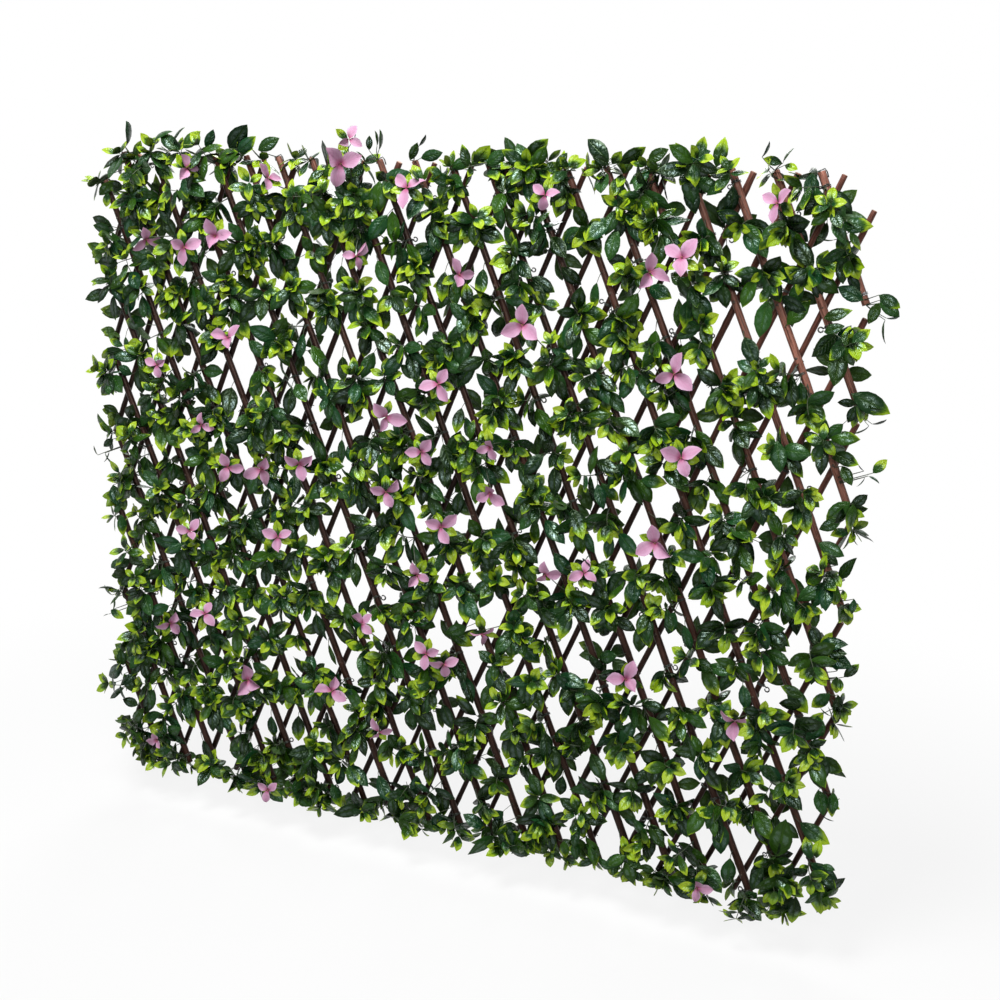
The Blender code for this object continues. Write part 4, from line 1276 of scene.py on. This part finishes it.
def keepInside(mesh):
    # leaf tips that would reach too far are pressed back softly
    places, give = placesOf(mesh), reach["give"]
    for axis, limit in ((0, reach["side"]), (0, -reach["side"]), (1, reach["front"]), (1, reach["back"]),
                        (2, reach["top"]), (2, reach["bottom"])):
        way = math.copysign(1.0, limit)
        over = np.maximum(0.0, way * (places[:, axis] - limit))
        places[:, axis] -= way * (over - give * (1 - np.exp(-over / give)))
    mesh.vertices.foreach_set("co", places.ravel())
    mesh.update()


def howMany(chance, mean):
    # a whole number whose average is mean
    return int(mean) + (chance.random() < mean - int(mean))


bloomsAt = {}            # crossing of a front rod: its flowers
for spotAcross, spotDown, roll, size, *turned in blooms.values():
    centre = throughPicture(spotAcross, spotDown, bloomLook["depth"])
    near = min(((stick.column(r), r, stick.number) for stick in frontSticks for r in stick.rows),
               key=lambda c: (c[0] * stepAcross - centre.x) ** 2 + (c[1] * stepUp - centre.z) ** 2)
    bloomsAt.setdefault((near[2], near[1]), []).append((centre, roll, size, turned))

placedOn = {}            # front rod: the placed leaves that it carries
for side in borderLeaves.values():
    for name, (fromAcross, fromDown, toAcross, toDown) in side.items():
        foot = throughPicture(fromAcross, fromDown, sprayLook["borderDepth"])
        tip = throughPicture(toAcross, toDown, sprayLook["borderDepth"] + sprayLook["borderTip"])
        nearest = min(((s.at(s.nearest(foot)) - foot).length, s.number) for s in frontSticks)[1]
        placedOn.setdefault(nearest, []).append((foot, tip, name[:-2]))


def borderWay(column, row):
    # which way is out of the fence, at a crossing on its border
    return Vector((max(0.0, abs(column) - lattice["columns"] + 1.5) * math.copysign(1, column), 0,
                   max(0.0, abs(row) - lattice["rows"] + 1) * math.copysign(1, row)))


def addSprigs(spray, foot, edge, count):
    chance = spray.chance
    for _ in range(count):
        angle = chance.uniform(0, math.tau)
        flat = Vector((math.cos(angle), 0, math.sin(angle) * 0.9 - 0.25)) + edge * 0.5
        aim = flat.normalized() * chance.uniform(0.35, 1.0) + Vector((0, -chance.uniform(0.45, 1.0), 0))
        length = chance.uniform(*sprayLook["sprigLength"])
        if edge.length:
            length += sprayLook["edgeReach"] * chance.random()
        spray.sprig(foot, aim, length, chance.uniform(*sprayLook["sprigScale"]))


def hangLeaves(spray, foot, edge, count):
    for _ in range(count):
        rows = "dark" if spray.chance.random() < sprayLook["hangingDark"] else "mid"
        spray.hangingLeaf(foot, sprayLook["alongRod"] + sprayLook["alongEdge"] * edge.x, rows)


def dressEnds(spray):
    # sprigs on the rod's ends, past its last crossings
    look = {
        # rod ends that show bare; the others carry a sprig
        "exposed": {("front", 1): (27, 25, 17, 16, 13, 11, 6, 5), ("front", -1): (27,), ("rear", -1): (),
                 ("rear", 1): (20, 18, 17, 10, 9, 21, 22, 23, 25, 27)},
        "inward": (0.004, 0.016), "before": -0.004, "lean": (0.3, 0.9), "aside": 0.5, "forward": (0.2, 0.7),
        "sideEnds": 0.58, "outwards": (0.8, 1.4),    # ends further out than this lean out
        "lengths": {1: (0.006, 0.018), -1: (0.006, 0.022)}, "scale": (0.8, 1.0)}
    stick, chance = spray.stick, spray.chance
    for way, end in ((1, stick.high), (-1, stick.low)):
        if stick.count in look["exposed"][stick.layer, way]:
            continue
        along = end - way * chance.uniform(*look["inward"])
        foot = stick.foot + stick.up * along + Vector((0, stick.depth + look["before"], 0))
        aim = stick.up * way * chance.uniform(*look["lean"]) + Vector((
            chance.uniform(-look["aside"], look["aside"]), -chance.uniform(*look["forward"]), 0))
        if abs(foot.x) > look["sideEnds"]:
            aim.x = math.copysign(chance.uniform(*look["outwards"]), foot.x)
        spray.sprig(foot, aim, chance.uniform(*look["lengths"][way]), chance.uniform(*look["scale"]),
                    chance.choice((2, 3)))


def dressFront(stick):
    look, spray = sprayLook, Spray(stick)
    chance, span = spray.chance, math.hypot(stepAcross, stepUp)
    dressEnds(spray)
    if stick.count in look["clipped"]:
        spray.shape(stick.at(stick.high), stick.up, stick.outward, 1.0, clipKind, look["loopCell"])
    if stick.count == look["wired"]:
        spray.shape(stick.at(stick.low + look["wireHeight"]), stick.outward, stick.up, 1.0, wrapKind,
                    look["loopCell"])
    for row in stick.rows:
        column, along = stick.column(row), row * span
        start = along + chance.choice((-1, 1)) * chance.uniform(*look["tieGap"])
        spray.tieOn(start)
        foot, edge = stick.at(start, 0.0050), borderWay(column, row)
        if chance.random() < look["forks"]:
            spray.fork(foot)
        full = 1 - look["fuller"] * column / lattice["columns"]
        full *= look["highest"] if row > lattice["rows"] - 2 else 1.0
        addSprigs(spray, foot, edge, howMany(chance, look["sprigs"] * full))
        lowest = look["lowest"] if row == -lattice["rows"] else 1.0
        hangLeaves(spray, foot, edge, howMany(chance, look["hanging"] * lowest * full))
        if row != stick.rows[-1]:
            middle = stick.at(along + span * chance.uniform(0.4, 0.62), 0.0045)
            addSprigs(spray, middle, edge, howMany(chance, look["between"] * full))
            hangLeaves(spray, middle, edge, howMany(chance, look["hangingBetween"] * full))
        for centre, roll, size, turned in bloomsAt.get((stick.number, row), ()):
            byChance = [chance.gauss(*bloomLook["aside"]) for _ in range(2)]
            aside, up = turned or byChance
            spray.bloom(foot, centre, Vector((aside, -1, up)), roll, size)
    for placed in placedOn.get(stick.number, ()):
        spray.placedLeaf(*placed)
    return spray.finish()


def dressRear(stick):
    # a few leaves reach through to the back of every second rod
    look = {"leaves": 5, "tieGap": 0.018, "dark": 0.7, "sizes": (0.8, 1.05), "stalk": (0.004, 0.014),
            "behind": (0.002, 0.008), "lean": (0.0, 0.25), "knee": 0.004}
    spray = Spray(stick)
    chance = spray.chance
    dressEnds(spray)
    for row in stick.rows if stick.number % 4 == 0 else ():
        if (row + stick.number // 4) % 2:
            continue
        along = row * math.hypot(stepAcross, stepUp) + chance.choice((-1, 1)) * look["tieGap"]
        spray.tieOn(along)
        foot = stick.at(along, 0.0045)
        for _ in range(howMany(chance, look["leaves"])):
            angle = chance.uniform(0, math.tau)
            ahead = Vector((math.cos(angle), chance.uniform(*look["lean"]), math.sin(angle)))
            base = foot + ahead * chance.uniform(*look["stalk"])
            base += Vector((0, chance.uniform(*look["behind"]), 0))
            spray.stem(foot, foot + Vector((0, look["knee"], 0)), base, 4, 0.8)
            face = Vector((chance.gauss(0, 0.3), 1, chance.gauss(0, 0.3)))
            size = chance.uniform(*look["sizes"])
            spray.leaf(base, ahead, face, size, "dark" if chance.random() < look["dark"] else "mid")
    return spray.finish()


dressers = {"front": dressFront, "rear": dressRear}
leafTotal = sum(dressers[stick.layer](stick) for stick in sticks.values())
print("sprays and flowers made, faces:", leafTotal)

for shape in list(shapes.objects):
    bpy.data.objects.remove(shape)
bpy.data.collections.remove(shapes)
bpy.data.objects.remove(nailShape)

for materialSlot in frame["nodes"]["centre_pin"].material_slots:
    materialSlot.material = nailSteel


# floor, backdrop and light

studio = {
    "floor": -0.568, "floorHalf": 14.0, "floorGrey": (0.54, 0.54, 0.54, 1.0), "floorRough": 0.9,
    "floorShine": 0.1, "white": (1.0, 1.0, 1.0, 1.0), "whiteNear": 0.84, "whiteFar": 1.0,
    "fade": (0.7, 1.6), "world": 0.05,
    "lamps": {
        "above": {"place": (-0.1, -1.1, 2.1), "size": 1.0, "power": 104.0},
        "front": {"place": (1.5, -2.6, 1.4), "size": 0.9, "power": 52.0},
        "behind": {"place": (-0.9, 2.0, 2.0), "size": 1.2, "power": 64.0},
    },
}


def seenPlainly(tree):
    # 1 for what the camera sees, also in a shine or through something clear
    path = put(tree, "ShaderNodeLightPath")
    camera, glossy, clear = (Value(path.outputs[name]) for name in (
        "Is Camera Ray", "Is Glossy Ray", "Is Transmission Ray"))
    return camera.maths("MAXIMUM", glossy.maths("MAXIMUM", clear))


def addFloor():
    half, level = studio["floorHalf"], studio["floor"]
    mesh = bpy.data.meshes.new("floor")
    mesh.from_pydata([(x * half, y * half, level) for x, y in ((-1, -1), (1, -1), (1, 1), (-1, 1))], [],
                     [(0, 1, 2, 3)])
    floor = show("floor", mesh)
    material, tree = newMaterial("paleFloor")
    shader = tree.nodes["Principled BSDF"]
    shader.inputs["Base Color"].default_value = studio["floorGrey"]
    shader.inputs["Roughness"].default_value = studio["floorRough"]
    shader.inputs["Specular IOR Level"].default_value = studio["floorShine"]
    glow = take(tree, "ShaderNodeEmission", {0: studio["white"], 1: 1.0})
    # the floor fades to plain white away from the fence, and keeps its shadow near it
    flat = drawn(tree, take(tree, "ShaderNodeTexCoord", None, "Object"), (1.0, 1.0, 0.0))
    away = take(tree, "ShaderNodeVectorMath", {0: flat}, "Value", operation="LENGTH")
    share = seenPlainly(tree) * ease(away, *studio["fade"], studio["whiteNear"], studio["whiteFar"])
    both = take(tree, "ShaderNodeMixShader", {0: share, 1: Value(shader.outputs[0]), 2: glow})
    join(both, tree.nodes["Material Output"].inputs[0])
    mesh.materials.append(material)


def addWorld():
    world = bpy.data.worlds.new("studio")
    scene.world = world
    world.use_nodes = True
    tree = world.node_tree
    tree.nodes.clear()
    level = ease(seenPlainly(tree), 0.0, 1.0, studio["world"], 1.0, kind="LINEAR")
    light = take(tree, "ShaderNodeBackground", {0: studio["white"], 1: level})
    put(tree, "ShaderNodeOutputWorld", {0: light})


def addLamps():
    for name, lamp in studio["lamps"].items():
        data = bpy.data.lights.new(name, "AREA")
        data.size, data.energy = lamp["size"], lamp["power"]
        lampObject = show(name, data)
        place = Vector(lamp["place"])
        turn = (-place).to_track_quat("-Z", "Y").to_matrix().to_4x4()
        lampObject.matrix_world = Matrix.Translation(place) @ turn


addFloor()
addWorld()
addLamps()
scene.view_settings.view_transform = "Standard"
print("studio made")
